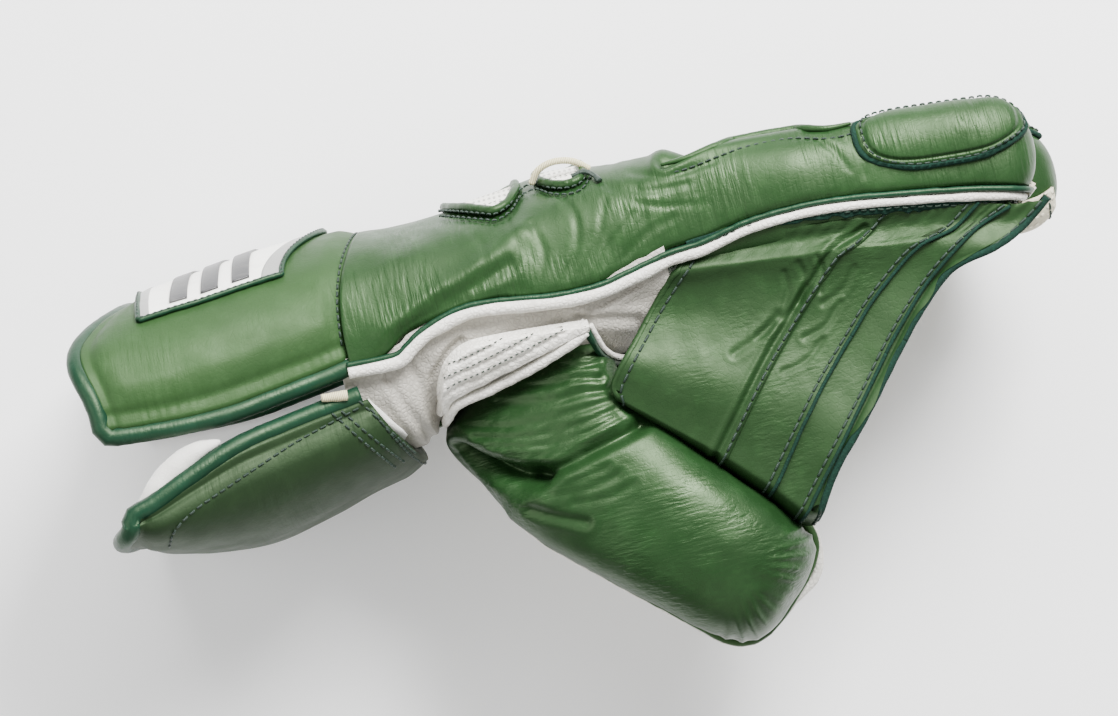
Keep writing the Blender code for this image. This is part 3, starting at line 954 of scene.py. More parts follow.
@dataclass(frozen=True)
class SuedeFinish:
    """Split leather, cut and left raw. To the eye: a dull, dark edge with paler standing fibres.

    Its fibres are 0.1 mm, too fine to show, so the nap is drawn at 0.7 mm.
    """

    name: str
    deep: str
    body: str
    nap: str

    def make(self) -> bpy.types.Material:
        """Makes the material.

        Returns:
            The material.
        """
        recipe = Recipe(self.name)
        add, mm, rgba = recipe.add, recipe.mm, {"data_type": "RGBA"}
        nap = add("TexNoise", Vector=mm, Scale=1.0 / 0.7, Detail=4.0)
        cloud = add("TexNoise", Vector=mm, Scale=1.0 / 7.0, Detail=3.0)
        base = add("Mix", 2, rgba, in0=cloud, in6=linear(self.deep), in7=linear(self.body))
        tips = add("MapRange", Value=nap, From_Min=0.5, From_Max=0.8, To_Max=0.5)
        base = add("Mix", 2, rgba, in0=tips, in6=base, in7=linear(self.nap))
        normal = add("Bump", Height=nap, Distance=0.3 * MM, Strength=0.9)
        return recipe.finish(Base_Color=base, Roughness=0.92, Normal=normal, Specular_IOR_Level=0.2)


@dataclass(frozen=True)
class YarnFinish:
    """Twisted or ribbed yarn: waxed sewing thread, or the braided cover of an elastic.

    To the eye: fine ridges, dark between and catching the light on top.
    """

    name: str
    deep: str
    body: str
    ridges: float
    wander: float
    depth: float
    roughness: float
    sheen: float = 0.0

    def make(self) -> bpy.types.Material:
        """Makes the material.

        Returns:
            The material.
        """
        recipe = Recipe(self.name)
        ridges = recipe.add("TexWave", "Fac", Vector=recipe.mm, Scale=self.ridges, Distortion=self.wander)
        normal = recipe.add("Bump", Height=ridges, Distance=self.depth * MM, Strength=0.8)
        # painted shade and painted highlight: the colour is darker between the ridges and lighter on their tops
        base = recipe.add("Mix", 2, {"data_type": "RGBA"}, in0=ridges, in6=linear(self.deep), in7=linear(self.body))
        return recipe.finish(Base_Color=base, Roughness=self.roughness, Normal=normal, Sheen_Weight=self.sheen)


@dataclass(frozen=True)
class StuddedFinish:
    """A lattice of small cells: the studs of moulded rubber, or the holes of a knitted spacer mesh.

    To the eye: an even dot pattern, in rubber as matt cream studs with grime between them, in mesh
    as a bright net over dark holes.
    """

    name: str
    pitch: float
    disorder: float
    edge: Point
    studs: bool

    def make(self) -> bpy.types.Material:
        """Makes the material.

        Returns:
            The material.
        """
        recipe = Recipe(self.name)
        add, mm, rgba = recipe.add, recipe.mm, {"data_type": "RGBA"}
        cells = add("TexVoronoi", settings={"feature": "F1"}, Vector=mm, Scale=1.0 / self.pitch,
                    Randomness=self.disorder)
        low, high = self.edge
        if self.studs:
            height = add("MapRange", Value=cells, From_Min=low, From_Max=high, To_Min=1.0, To_Max=0.0)
            cloud = add("TexNoise", Vector=mm, Scale=1.0 / 14.0, Detail=4.0)
            base = add("Mix", 2, rgba, in0=cloud, in6=linear("cfc8ac"), in7=linear("e2ddc9"))
            grime = add("MapRange", Value=height, To_Min=0.45, To_Max=0.0)
            base = add("Mix", 2, rgba, in0=grime, in6=base, in7=linear("8f8a70"))
            normal = add("Bump", Height=height, Distance=0.5 * MM, Strength=0.9)
            return recipe.finish(Base_Color=base, Roughness=0.72, Normal=normal)
        yarn = add("MapRange", Value=cells, From_Min=low, From_Max=high)
        base = add("Mix", 2, rgba, in0=yarn, in6=linear("55564f"), in7=linear("e4e2d8"))
        normal = add("Bump", Height=yarn, Distance=0.5 * MM, Strength=1.0)
        fibre = add("TexNoise", Vector=mm, Scale=1.0 / 0.35, Detail=2.0)
        normal = add("Bump", Height=fibre, Distance=0.08 * MM, Strength=0.6, Normal=normal)
        return recipe.finish(Base_Color=base, Roughness=0.85, Normal=normal, Sheen_Weight=0.2)


@dataclass(frozen=True)
class CottonFinish:
    """Brushed cotton flannel. To the eye: matt white, greyer in worn patches, faintly lit at its rim.

    Its fibres are 0.02 mm, too fine to show, so they are drawn as a 0.5 mm fuzz.
    """

    name: str
    worn: str
    clean: str

    def make(self) -> bpy.types.Material:
        """Makes the material.

        Returns:
            The material.
        """
        recipe = Recipe(self.name)
        add, mm = recipe.add, recipe.mm
        patches = add("TexNoise", Vector=mm, Scale=1.0 / 12.0, Detail=4.0)
        base = add("Mix", 2, {"data_type": "RGBA"}, in0=patches, in6=linear(self.worn), in7=linear(self.clean))
        fuzz = add("TexNoise", Vector=mm, Scale=1.0 / 0.5, Detail=3.0)
        normal = add("Bump", Height=fuzz, Distance=0.25 * MM, Strength=0.8)
        puckers = add("TexNoise", Vector=mm, Scale=1.0 / 5.0, Detail=3.0)
        normal = add("Bump", Height=puckers, Distance=0.6 * MM, Strength=0.5, Normal=normal)
        return recipe.finish(Base_Color=base, Roughness=0.95, Normal=normal, Sheen_Weight=0.4, Sheen_Roughness=0.6)


@dataclass(frozen=True)
class FilmFinish:
    """Printed vinyl. To the eye: flat, clean colour with a low gloss, faint ripples and dull scuffs."""

    name: str
    colour: str

    def make(self) -> bpy.types.Material:
        """Makes the material.

        Returns:
            The material.
        """
        recipe = Recipe(self.name)
        add, mm = recipe.add, recipe.mm
        stretched = add("Mapping", Vector=mm, Scale=(0.25, 1.0, 1.0))
        scuffs = add("TexNoise", Vector=stretched, Scale=1.0 / 3.0, Detail=5.0)
        scuffs = add("MapRange", Value=scuffs, From_Min=0.55, From_Max=0.8, To_Max=0.25)
        base = add("Mix", 2, {"data_type": "RGBA"}, in0=scuffs, in6=linear(self.colour), in7=linear("9c9c98"))
        ripples = add("TexNoise", Vector=mm, Scale=1.0 / 1.4, Detail=2.0)
        normal = add("Bump", Height=ripples, Distance=0.08 * MM, Strength=0.5)
        dull = add("MapRange", Value=scuffs, From_Max=0.25, To_Min=0.32, To_Max=0.55)
        return recipe.finish(Base_Color=base, Roughness=dull, Normal=normal)


class Looks:
    """Every material of the glove."""

    def __init__(self) -> None:
        """Makes each material once."""
        self.green = Look(LeatherFinish("Green polished leather", "112410", "193417", "2e4d29").make(), Slot.GREEN)
        # the gauntlet has faded and lost its polish, so it looks lighter and flatter
        self.cuff = Look(LeatherFinish("Sun-faded green cuff leather", "1a3017", "213c1b", "365230", (0.5, 0.62),
                                       wrinkle_depth=0.12).make(), Slot.GREEN)
        # painted shade: the palm side lies in shadow, so its leather is given darker colours, nearly black-green
        self.palm_cuff = Look(LeatherFinish("Handled palm cuff leather", "0d1c0e", "122411", "263c22", (0.5, 0.62),
                                            wrinkle_depth=0.12).make(), Slot.GREEN)
        # thumb and web are softer leather: closer creases, and more of a shine on what is stretched
        self.thumb = Look(LeatherFinish("Soft creased thumb leather", "0f210f", "163015", "294826", (0.34, 0.46),
                                        crease=1.9, wrinkle=1.3, run=(6.0, 1.0, 1.6), wrinkle_depth=0.2).make(),
                          Slot.GREEN)
        self.web = Look(LeatherFinish("Dark web leather", "0f220f", "172f15", "294825", (0.44, 0.58),
                                      wrinkle=1.3, run=(3.0, 1.0, 2.0), wrinkle_depth=0.14).make(), Slot.DARK)
        # the bindings are a bluer, darker hide with a smooth face
        self.binding = Look(LeatherFinish("Rolled binding leather", "062016", "0a2c1e", "194434", (0.38, 0.52),
                                          crease=2.4, wrinkle_depth=0.1).make(), Slot.DARK)
        self.white = Look(PebbledFinish("Pebbled white leather", "a9a498", "dedbd0", "f4f2ec").make(), Slot.WHITE)
        # painted shade: the gusset lies in the shade of the fold under the welt, so its white leather is given greyer
        # colours
        self.gusset = Look(PebbledFinish("Handled white gusset leather", "8a867d", "a19d93", "b7b3a9", 0.35).make(),
                           Slot.WHITE)
        self.suede = Look(SuedeFinish("Raw green suede edge", "081d16", "0d2b20", "1d4336").make(), Slot.SUEDE)
        self.thread = Look(YarnFinish("Black-green waxed thread", "0f1f17", "24382c", 1.1, 1.5, 0.12, 0.5).make(),
                           Slot.DARK)
        self.elastic = Look(YarnFinish("Cream covered elastic", "b5ab7c", "e2dbb6", 0.55, 0.6, 0.2, 0.7, 0.2).make(),
                            Slot.ELASTIC)
        self.rubber = Look(StuddedFinish("Pimpled rubber facing", 2.3, 0.0, (0.2, 0.42), True).make(), Slot.RUBBER)
        self.mesh = Look(StuddedFinish("White spacer mesh", 1.7, 0.08, (0.22, 0.38), False).make(), Slot.MESH)
        self.lining = Look(CottonFinish("Brushed cotton lining", "b8b6ae", "e9e8e2").make(), Slot.LINING)
        self.film = Look(FilmFinish("White patch film", "f4f3ec").make(), Slot.PATCH)
        self.grey_film = Look(FilmFinish("Grey patch film", "8b8b88").make(), Slot.PATCH)
        self.black_film = Look(FilmFinish("Black raised patch print", "2b2b2d").make(), Slot.PATCH)
        self.dark_suede = Look(self.suede.material, Slot.DARK)


LOOKS = Looks()


# ---------------------------------------------------------------- cuffs
def cuff_edge(form: Form, front: Callable[[Array], Array], last: float, reach: float,
              outset: float, wrist: float) -> Array:
    """The route of a rolled binding round a cuff's free edge, reach millimetres off it.

    Args:
        form: the cuff's form.
        front: gives the mouth's x at an angle.
        last: the angle where the cuff ends.
        reach: how far the route stands off the edge.
        outset: how far it stands out of the form.
        wrist: the x at which it reaches the wrist.

    Returns:
        The points of the route.
    """
    scale = 0.9
    turn = math.copysign(1.0, last)
    side = np.linspace(wrist, float(front(np.array(0.0))) + 4.0, 14)
    angles = np.linspace(0.0, last, 60)
    flat_x = np.concatenate([side, front(angles), side[::-1]])
    flat_a = np.concatenate([np.zeros(14), angles, np.full(14, last)])
    flat = curve(np.stack([flat_x, flat_a * scale], axis=1), 220)
    along = np.gradient(flat, axis=0)
    along /= np.linalg.norm(along, axis=1, keepdims=True)
    x = flat[:, 0] - turn * along[:, 1] * reach
    angle = flat[:, 1] / scale + turn * along[:, 0] * reach / scale
    held = np.clip(angle, min(0.0, last), max(0.0, last))
    route = form.points(x, held, outset)
    route[:, 1] -= turn * np.abs(angle - held) * scale
    return route


@dataclass
class Cuff:
    """One half of the gauntlet: outer leather, rolled binding and lining."""

    name: str
    form: Form
    body: BodyName
    last: float
    front: Callable[[Array], Array]
    back: Callable[[Array], Array]
    crossing: Crossing
    look: Look

    def grid(self, rows: int, columns: int, inset: float = 0.0, outset: float = 0.0) -> Skin:
        """The cuff's surface from its mouth edge to its seam.

        Args:
            rows: how many rows.
            columns: how many columns.
            inset: how far the free edges are drawn in.
            outset: how much the form is grown.

        Returns:
            The surface.
        """
        angle = np.linspace(0.0, self.last, columns)[None, :]
        u = np.linspace(0.0, 1.0, rows)[:, None]
        x = self.front(angle) + inset + (self.back(angle) - self.front(angle) - inset) * u
        angle = np.broadcast_to(angle, x.shape)
        outward = (0.0, math.copysign(1.0, self.last), 0.0)
        return Skin(self.form.points(x, angle, outset), outward)

    def padded(self, rows: int = 110, columns: int = 190) -> Skin:
        """The outer leather, puffed over its padding, with pulls from the stitching.

        Args:
            rows: how many rows.
            columns: how many columns.

        Returns:
            The surface.
        """
        skin = self.grid(rows, columns)
        u = np.linspace(0.0, 1.0, rows)[:, None]
        v = np.linspace(0.0, 1.0, columns)[None, :]
        from_side = np.minimum(v, 1 - v) * 170.0
        puff = 2.0 * smooth(0.0, 0.12, u) * smooth(1.0, 0.9, u) * smooth(0.0, 14.0, from_side)
        soft = 0.5 * noise(skin.points, (34.0, 16.0, 16.0), 2) + 0.12 * noise(skin.points, (9.0, 6.0, 6.0), 3)
        near = np.exp(-(((from_side - 5.0) / 4.0) ** 2)) * smooth(0.05, 0.2, u)
        near = near * smooth(-0.4, 0.5, noise(skin.points, 12.0, 5))
        ripples = 0.16 * np.sin(skin.points[..., 0] * 2.1 + 3.0 * noise(skin.points, 9.0, 4)) * near
        rim = -0.7 * np.exp(-(((from_side - 3.5) / 1.6) ** 2)) - 0.7 * np.exp(-(((u - 0.035) / 0.016) ** 2))
        seam = -0.8 * np.exp(-(((1 - u) / 0.018) ** 2))
        return skin.raised(puff + soft + ripples + rim + seam)

    def build(self) -> Skin:
        """Makes the cuff's shared pieces. Returns: its outer surface, to sew things on."""
        outer = self.padded()
        shell(f"{self.name}_leather", outer, 4.6, self.look, on=self.crossing,
              stands_for=(f"{self.name}_shell",))
        lining = self.grid(60, 90, inset=3.0, outset=-6.4)
        quilt = 0.5 * noise(lining.points, 9.0, 8) + 0.35 * noise(lining.points, 4.0, 9)
        shell(f"{self.name}_cotton", lining.raised(quilt), 1.0, LOOKS.lining, on=self.crossing,
              stands_for=(f"{self.name}_lining",))
        route = cuff_edge(self.form, self.front, self.last, 2.0, -2.2, 88.0)
        roll(f"{self.name}_rolled_edge", route, 3.0, LOOKS.binding, 16, pucker=0.025, on=self.crossing,
             stands_for=(f"{self.name}_binding",))
        self.sew_wrist(outer)
        return outer

    def sew_wrist(self, outer: Skin) -> None:
        """The row of stitches along the wrist seam.

        Args:
            outer: the cuff's outer leather.
        """
        v = np.linspace(0.02, 0.98, 160)
        spots, normals = outer.at(np.full(160, 0.985), v, 0.15)
        stitches(f"{self.name}_wrist_stitches", spots, normals, Thread(2.6, 1.9),
                 on=self.crossing)


def back_front(angle: Array) -> Array:
    """The back cuff's mouth: round corners at the sides, set back over the middle."""
    turn = np.radians(angle)
    return 2.0 + 20.0 * np.sin(turn) ** 4 + 9.0 * np.abs(np.cos(turn)) ** 6


def back_seam(angle: Array) -> Array:
    """The wrist seam of the back cuff, further along over the back of the hand."""
    return 87.0 + 10.5 * np.sin(np.radians(angle)) ** 2


def palm_front(angle: Array) -> Array:
    """The palm cuff's mouth, cut back at its corners like a leaf."""
    return 7.5 + 6.0 * np.abs(np.cos(np.radians(angle))) ** 8


def palm_seam(angle: Array) -> Array:
    """The slanted end of the palm cuff where it is sewn over the gusset."""
    return 90.0 + 12.0 * np.abs(np.sin(np.radians(angle))) ** 0.8


@dataclass
class Patch:
    """The sewn-on patch: a pale field, grey end bands and a plain raised motif of slanted bars.

    Places round the cuff are shares, 0 at its thumb edge; places along it are millimetres.
    """

    cloth: Skin
    around: Point = (0.245, 0.66)
    near: float = 26.0
    far: float = 72.0
    far_bulge: float = 14.0
    near_band: Point = (0.3, 3.6)
    far_band: Point = (6.5, 0.3)
    bars: tuple[float, ...] = (36.5, 46.5, 56.5)
    bars_around: Point = (0.27, 0.62)
    bar_width: float = 5.6
    bar_slant: float = 9.0

    def far_edge(self, v: Array) -> Array:
        """The far edge, which bulges over the middle of the cuff."""
        return self.far + self.far_bulge * smooth(0.25, 0.5, np.minimum(v, 1 - v))

    def lay(self, name: str, x_at: Callable[[Array], tuple[Array, Array]], around: Point, lift: float,
            thickness: float, look: Look, rows: int = 40, stands_for: Sequence[str] = ()) -> Skin:
        """Lays one film on the cuff.

        Args:
            name: the piece's name.
            x_at: gives its near and far edges at shares of the way round.
            around: the shares that it spans.
            lift: how far its face stands off the cuff.
            thickness: its thickness.
            look: its material and slot.
            rows: how many rows of points it has.
            stands_for: the CAD nodes that it replaces.

        Returns:
            Its face.
        """
        v = np.linspace(*around, 70)
        low, high = x_at(v)
        spots = []
        for share in np.linspace(0.0, 1.0, rows):
            x = low + (high - low) * share
            angle = v * 180.0
            u = (x - back_front(angle)) / (back_seam(angle) - back_front(angle))
            spots.append(self.cloth.at(u, v, lift)[0])
        skin = Skin(np.array(spots), (0.0, 1.0, 0.0))
        shell(name, skin, thickness, look, on=BodyName.BACK_CUFF, stands_for=stands_for)
        return skin

    def build(self) -> None:
        """Makes the films, the rim and its stitches."""
        near = self.near
        pale = self.lay("patch_field", lambda v: (near + 0.0 * v, self.far_edge(v)), self.around, 1.0, 0.8,
                        LOOKS.film, stands_for=("cuff_patch",))
        self.lay("patch_band_near", lambda v: (near + self.near_band[0] + 0.0 * v, near + self.near_band[1] + 0.0 * v),
                 self.around, 1.25, 0.3, LOOKS.grey_film, 6)
        self.lay("patch_band_far", lambda v: (self.far_edge(v) - self.far_band[0], self.far_edge(v) - self.far_band[1]),
                 self.around, 1.25, 0.3, LOOKS.grey_film, 8)
        for k, place in enumerate(self.bars):
            def bar(v: Array, start: float = place) -> tuple[Array, Array]:
                """The near and far edges of one bar."""
                x = start + self.bar_slant * (v - 0.3)
                return x, x + self.bar_width

            self.lay(f"patch_motif_{k}", bar, self.bars_around, 1.7, 0.6, LOOKS.black_film, 6)
        frame_u = np.concatenate([np.zeros(60), np.linspace(0, 1, 50), np.ones(60), np.linspace(1, 0, 50)])
        frame_v = np.concatenate([np.linspace(0, 1, 60), np.ones(50), np.linspace(1, 0, 60), np.zeros(50)])
        spots, normals = pale.at(frame_u, frame_v, 0.0)
        roll("patch_rim", spots, 0.9, LOOKS.binding, 10, pucker=0.12, on=BodyName.BACK_CUFF)
        stitches("patch_stitches", spots + normals * 0.75, normals, Thread(2.2, 1.5, 0.3), on=BodyName.BACK_CUFF)


@dataclass
class Gauntlet:
    """Both halves of the cuff and what is sewn on them."""

    seams: tuple[tuple[str, tuple[Point, ...]], ...] = (
        ("inner_stitches", ((20, -45), (24, -40), (31, -35.5), (42, -31), (63, -23), (76, -19), (87, -16))),
        ("cross_stitches_a", ((78, -15.5), (93, -37))),
        ("cross_stitches_b", ((81, -15.5), (96, -36))),
        ("end_stitches", ((87, -13.5), (100, -34))),
    )
    lining_fold: tuple[Place, ...] = ((13, -32.5, 119), (20, -27, 120), (27, -22, 119), (35, -18, 118),
                                      (43, -16.5, 116))
    lining_fold_radius: Point = (0.5, 3.9)
    pull_tab: tuple[Point, ...] = ((76, -10.5), (80, -11), (84, -11.5))
    pull_tab_radius: Point = (1.2, 1.7)

    def build(self) -> None:
        """Makes the back cuff with its patch, then the palm cuff with its seams, lining fold and pull tab."""
        back = Cuff("back_cuff", BACK_CUFF, BodyName.BACK_CUFF, 180.0, back_front, back_seam, OVER_BACK_HINGE,
                    LOOKS.cuff)
        Patch(back.build()).build()
        palm = Cuff("palm_cuff", PALM_CUFF, BodyName.PALM_CUFF, -180.0, palm_front, palm_seam, OVER_PALM_HINGE,
                    LOOKS.palm_cuff)
        leather = palm.build()
        self.build_lining_fold()
        for name, route in self.seams:
            spots, normals = leather.drape(curve(route, 80), 0.15)
            stitches(f"palm_cuff_{name}", spots, normals, Thread(2.8, 2.0),
                     on=OVER_PALM_HINGE)
        tab, _ = leather.drape(curve(self.pull_tab, 12), 1.2)
        roll("pull_tab_loop", tab, np.linspace(*self.pull_tab_radius, 12), LOOKS.elastic, 10,
             pucker=0.1, on=BodyName.PALM_CUFF, stands_for=("pull_tab",))

    def build_lining_fold(self) -> None:
        """The folded edge of cotton that shows inside the palm cuff's mouth."""
        thin, thick = self.lining_fold_radius
        radius = thin + (thick - thin) * np.sin(np.linspace(0.0, math.pi, 40)) ** 0.8
        roll("palm_cuff_lining_fold", curve(self.lining_fold, 40), radius, LOOKS.lining, 14,
             pucker=0.06, on=BodyName.PALM_CUFF)


# ---------------------------------------------------------------- hand
WELT_LINE = curve(WELT_ROUTE, 200)


def welt_y(x: Array) -> Array:
    """The y of the side welt at x."""
    return np.interp(x, WELT_LINE[:, 0], WELT_LINE[:, 1])


@dataclass(frozen=True)
class Finger:
    """One finger stall's measurements, in millimetres."""

    body: BodyName
    z: float
    tip: float
    curl: float
    middle_y: float = 20.5
    dome: float = 15.0
    root_in: float = 0.0

    def sections(self) -> tuple[Section, ...]:
        """The stall's sections from the knuckle to the start of its domed tip.

        Returns:
            The sections.
        """
        found = []
        for share in (0.0, 0.33, 0.66, 1.0):
            x = 205.0 + (self.tip - self.dome - 205.0) * share
            bend = (x - 190.0) / (self.tip - self.dome - 190.0)
            found.append(Section(x, self.middle_y - self.curl * bend**2, self.z, 19.0 - 2.0 * bend, 12.9 - 0.4 * bend))
        return tuple(found)

    def form(self) -> Form:
        """The stall's form, which starts inside the hand.

        Returns:
            The form.
        """
        start = self.sections()[0]
        root = []
        for x, share in ((174.0, 1.0), (190.0, 0.55)):
            inward = self.root_in * share
            root.append(Section(x, start.y - 0.5 * inward, start.z + 0.9 * inward, start.half_y - inward,
                                start.half_z - 0.3 - 0.5 * inward))
        return Form((*root, *self.sections()), dome=(self.tip - self.dome, self.dome))

    def rows(self, start: float, straight: int, domed: int) -> Array:
        """Row positions along the stall, closing up over the tip.

        Args:
            start: where the first row lies.
            straight: how many rows before the tip.
            domed: how many rows over the tip.

        Returns:
            The rows' x.
        """
        turns = np.linspace(0.0, 0.5 * math.pi * 0.97, domed)
        return np.concatenate([np.linspace(start, self.tip - self.dome, straight, endpoint=False),
                               self.tip - self.dome + self.dome * np.sin(turns)])

    @property
    def crossing(self) -> Crossing:
        """How the stall's leather passes over its knuckle."""
        return Crossing(self.body, (183.0, 10.0, self.z), (201.0, 10.0, self.z))


INDEX = Finger(BodyName.INDEX, 90.7, 313.0, 4.0, 21.0)
MIDDLE = Finger(BodyName.MIDDLE, 64.7, 321.0, 12.0)
RING = Finger(BodyName.RING, 38.7, 309.0, 11.0)
LITTLE = Finger(BodyName.LITTLE, 12.9, 283.0, 8.0, root_in=8.0)
UPPER = Form(
    (
        Section(80.0, -0.5, 56.5, 39.6, 50.3),
        Section(98.0, 2.5, 56.0, 36.4, 50.3),
        Section(110.0, 5.0, 55.5, 33.4, 50.6),
        Section(140.0, 8.2, 55.0, 32.5, 51.2),
        Section(162.0, 10.2, 55.5, 33.4, 50.2),
        Section(184.0, 16.4, 73.0, 25.4, 31.5),
        *INDEX.sections(),
    ),
    dome=(INDEX.tip - INDEX.dome, INDEX.dome),
)
BACK_FOLDS = (
    Fold(((99, 6), (112, 10), (123, 15), (136, 20), (148, 26)), 4.0, -1.3, 0.0),
    Fold(((104, 2), (116, 9), (128, 12), (142, 17)), 2.2, 0.8),
    Fold(((150, 9), (154, 18), (152, 28)), 1.1, 0.35, 0.3),
    Fold(((158, 8), (164, 17), (166, 27), (163, 35)), 1.0, 0.40, 0.3),
    Fold(((163, 8), (171, 18), (176, 30)), 0.9, 0.28, 0.3),
    Fold(((170, 9), (175, 16), (184, 24)), 0.9, 0.23, 0.3),
    Fold(((178, 11), (187, 17), (197, 20)), 1.0, 0.25, 0.3),
    Fold(((175, 36), (188, 30), (203, 29)), 1.1, 0.30, 0.3),
    Fold(((178, 33), (190, 25), (206, 22)), 0.9, 0.25, 0.3),
    Fold(((186, 37), (197, 33), (212, 34)), 1.0, 0.30, 0.3),
    Fold(((242, 36), (249, 30), (253, 22)), 0.9, 0.30, 0.3),
    Fold(((252, 34), (258, 26), (257, 19)), 1.0, 0.28, 0.3),
    Fold(((246, 33), (251, 25), (250, 17)), 0.9, 0.17, 0.3),
    Fold(((197, 37), (206, 39.5), (214, 41), (232, 41), (240, 41)), 1.5, 2.4, 0.5),
    Fold(((130, 12), (136, 22), (133, 31)), 1.1, 0.25, 0.3),
    Fold(((140, 10), (146, 20), (145, 31)), 1.0, 0.25, 0.3),
)


def pad_on(name: str, form: Form, middle: Point, half: Point, height: float, body: BodyName,
           stands_for: Sequence[str]) -> tuple[Array, Array]:
    """A stuffed, stitched-down pad on a form.

    Args:
        name: the piece's name.
        form: the form that it lies on.
        middle: its middle, as x and angle.
        half: its half length in millimetres and half width in degrees.
        height: how far it stands proud.
        body: the body it rides on.
        stands_for: the CAD nodes that it replaces.

    Returns:
        The points and normals of the ring where it is sewn down.
    """
    share = np.concatenate([np.linspace(0.0, 0.8, 18), np.linspace(0.83, 1.0, 12)])[:, None]
    turns = np.linspace(0.0, 2 * math.pi, 110, endpoint=False)[None, :]
    power = 2.0 / 3.4
    dx = share * np.sign(np.cos(turns)) * np.abs(np.cos(turns)) ** power
    da = share * np.sign(np.sin(turns)) * np.abs(np.sin(turns)) ** power
    x = middle[0] + half[0] * dx
    degrees = middle[1] + half[1] * da
    points, normals = form.surface(x, degrees)
    crown = height * (0.72 + 0.28 * (1 - share**2)) * np.sqrt(np.clip(1 - share**14, 0, 1))
    crown = crown + 0.3 * noise(points, 9.0, 21) * smooth(1.0, 0.8, share)
    crown = crown - 0.8 * np.exp(-(((share - 0.9) / 0.03) ** 2))
    raised = points + normals * (crown - 0.5)[..., None]
    skin = Skin(raised, normals[0, 0], closed=True)
    shell(name, skin, 0.6, LOOKS.green, on=body, stands_for=stands_for)
    return points[-1], normals[-1]


def closed_ring(spots: Array) -> Array:
    """A ring of points with its first point repeated at the end."""
    return np.vstack([spots, spots[:1]])


@dataclass
class Stall:
    """One finger: leather tube, ribbed rubber facing on the palm side and a stitched pad at its tip."""

    finger: Finger
    pad_angle: float = 90.0
    pad_half: Point = (27.0, 40.0)

    def build(self) -> None:
        """Makes the finger's pieces."""
        name = self.finger.body.value
        form = self.finger.form()
        if self.finger is INDEX:
            self.build_flank(name, form)
        else:
            self.build_tube(name, form)
        self.build_facing(name, form)
        self.build_pad(name, form)

    def build_tube(self, name: str, form: Form) -> None:
        """The leather stall, closed over the fingertip, with creases across its bends.

        Args:
            name: the finger's name.
            form: the stall's form.
        """
        rows = self.finger.rows(176.0, 110, 16)[:, None]
        degrees = np.linspace(0.0, 360.0, 72, endpoint=False)[None, :] - 180.0
        skin = Skin(form.points(rows, degrees + 0 * rows), (0.0, 0.0, -1.0), closed=True)
        wave = 0.5 * noise(skin.points, 16.0, 31) + 0.3 * noise(skin.points, (3.0, 10.0, 10.0), 32)
        for place in (226.0, 255.0):
            wave -= 0.8 * np.exp(-(((skin.points[..., 0] - place) / 2.0) ** 2))
        taper = smooth(self.finger.tip, self.finger.tip - 12.0, rows)
        shell(f"{name}_stall_leather", skin.raised((wave - 0.4) * (0.3 + 0.7 * taper)), 2.2, LOOKS.green,
              tip=True, on=self.finger.crossing, stands_for=(f"{name}_stall",))
        cotton = Skin(form.points(rows[:-6], degrees + 0 * rows[:-6], -2.8), (0.0, 0.0, -1.0), closed=True)
        shell(f"{name}_stall_cotton", cotton, 0.8, LOOKS.lining, on=self.finger.crossing)

    def build_flank(self, name: str, form: Form) -> None:
        """The palm side of the index stall, from the welt round to the leather of its back.

        Args:
            name: the finger's name.
            form: the stall's form.
        """
        rows = self.finger.rows(187.0, 100, 14)[:, None]
        low = form.angle_at(rows, welt_y(rows)) + 4.0
        degrees = low + (-184.0 - low) * np.linspace(0.0, 1.0, 60)[None, :]
        skin = Skin(form.points(rows, degrees), (0.0, -1.0, 0.0))
        flank = skin.raised(0.4 * noise(skin.points, 12.0, 33) - 0.7)
        shell(f"{name}_flank_leather", flank, 1.8, LOOKS.green, tip=False, on=self.finger.crossing)

    def build_facing(self, name: str, form: Form) -> None:
        """The pimpled rubber facing, with a stitch row just inside its edge.

        Args:
            name: the finger's name.
            form: the stall's form.
        """
        rows = np.linspace(194.0, self.finger.tip - 3.5, 120)[:, None]
        low = -78.0 if self.finger is INDEX else -22.0
        degrees = np.linspace(low, -158.0, 54)[None, :]
        skin = Skin(form.points(rows, degrees + 0 * rows), (0.0, -1.0, 0.0)).raised(1.0)
        shell(f"{name}_rubber_facing", skin, 1.3, LOOKS.rubber, on=self.finger.crossing,
              stands_for=(f"{name}_facing",))
        u = np.concatenate([np.linspace(0.02, 0.98, 80), np.full(20, 0.98), np.linspace(0.98, 0.02, 80)])
        v = np.concatenate([np.full(80, 0.06), np.linspace(0.06, 0.94, 20), np.full(80, 0.94)])
        spots, normals = skin.at(u, v, 0.1)
        stitches(f"{name}_facing_stitches", spots, normals, Thread(),
                 on=self.finger.crossing)

    def build_pad(self, name: str, form: Form) -> None:
        """The padded cap over the fingertip, its raw edge and its ring of stitches.

        Args:
            name: the finger's name.
            form: the stall's form.
        """
        middle = (self.finger.tip - 3.0 - self.pad_half[0], self.pad_angle)
        ring, normals = pad_on(f"{name}_cap_pad", form, middle, self.pad_half, 4.2, self.finger.body, (f"{name}_cap",))
        roll(f"{name}_cap_edge", closed_ring(ring + normals * 0.5), 0.95, LOOKS.suede, 8, pucker=0.18,
             on=self.finger.body)
        shrunk = ring + (ring.mean(axis=0) - ring) * 0.085 + normals * 3.0
        stitches(f"{name}_cap_stitches", closed_ring(shrunk), closed_ring(normals), Thread(2.6, 1.8, 0.34),
                 on=self.finger.body)


def on_form(form: Form, route: Array, lift: Array | float) -> tuple[Array, Array]:
    """Lays an XY route on a form's thumb side. Returns: points and normals."""
    spots, normals = form.surface(route[:, 0], form.angle_at(route[:, 0], route[:, 1]))
    return spots + normals * np.broadcast_to(lift, (len(route),))[:, None], normals




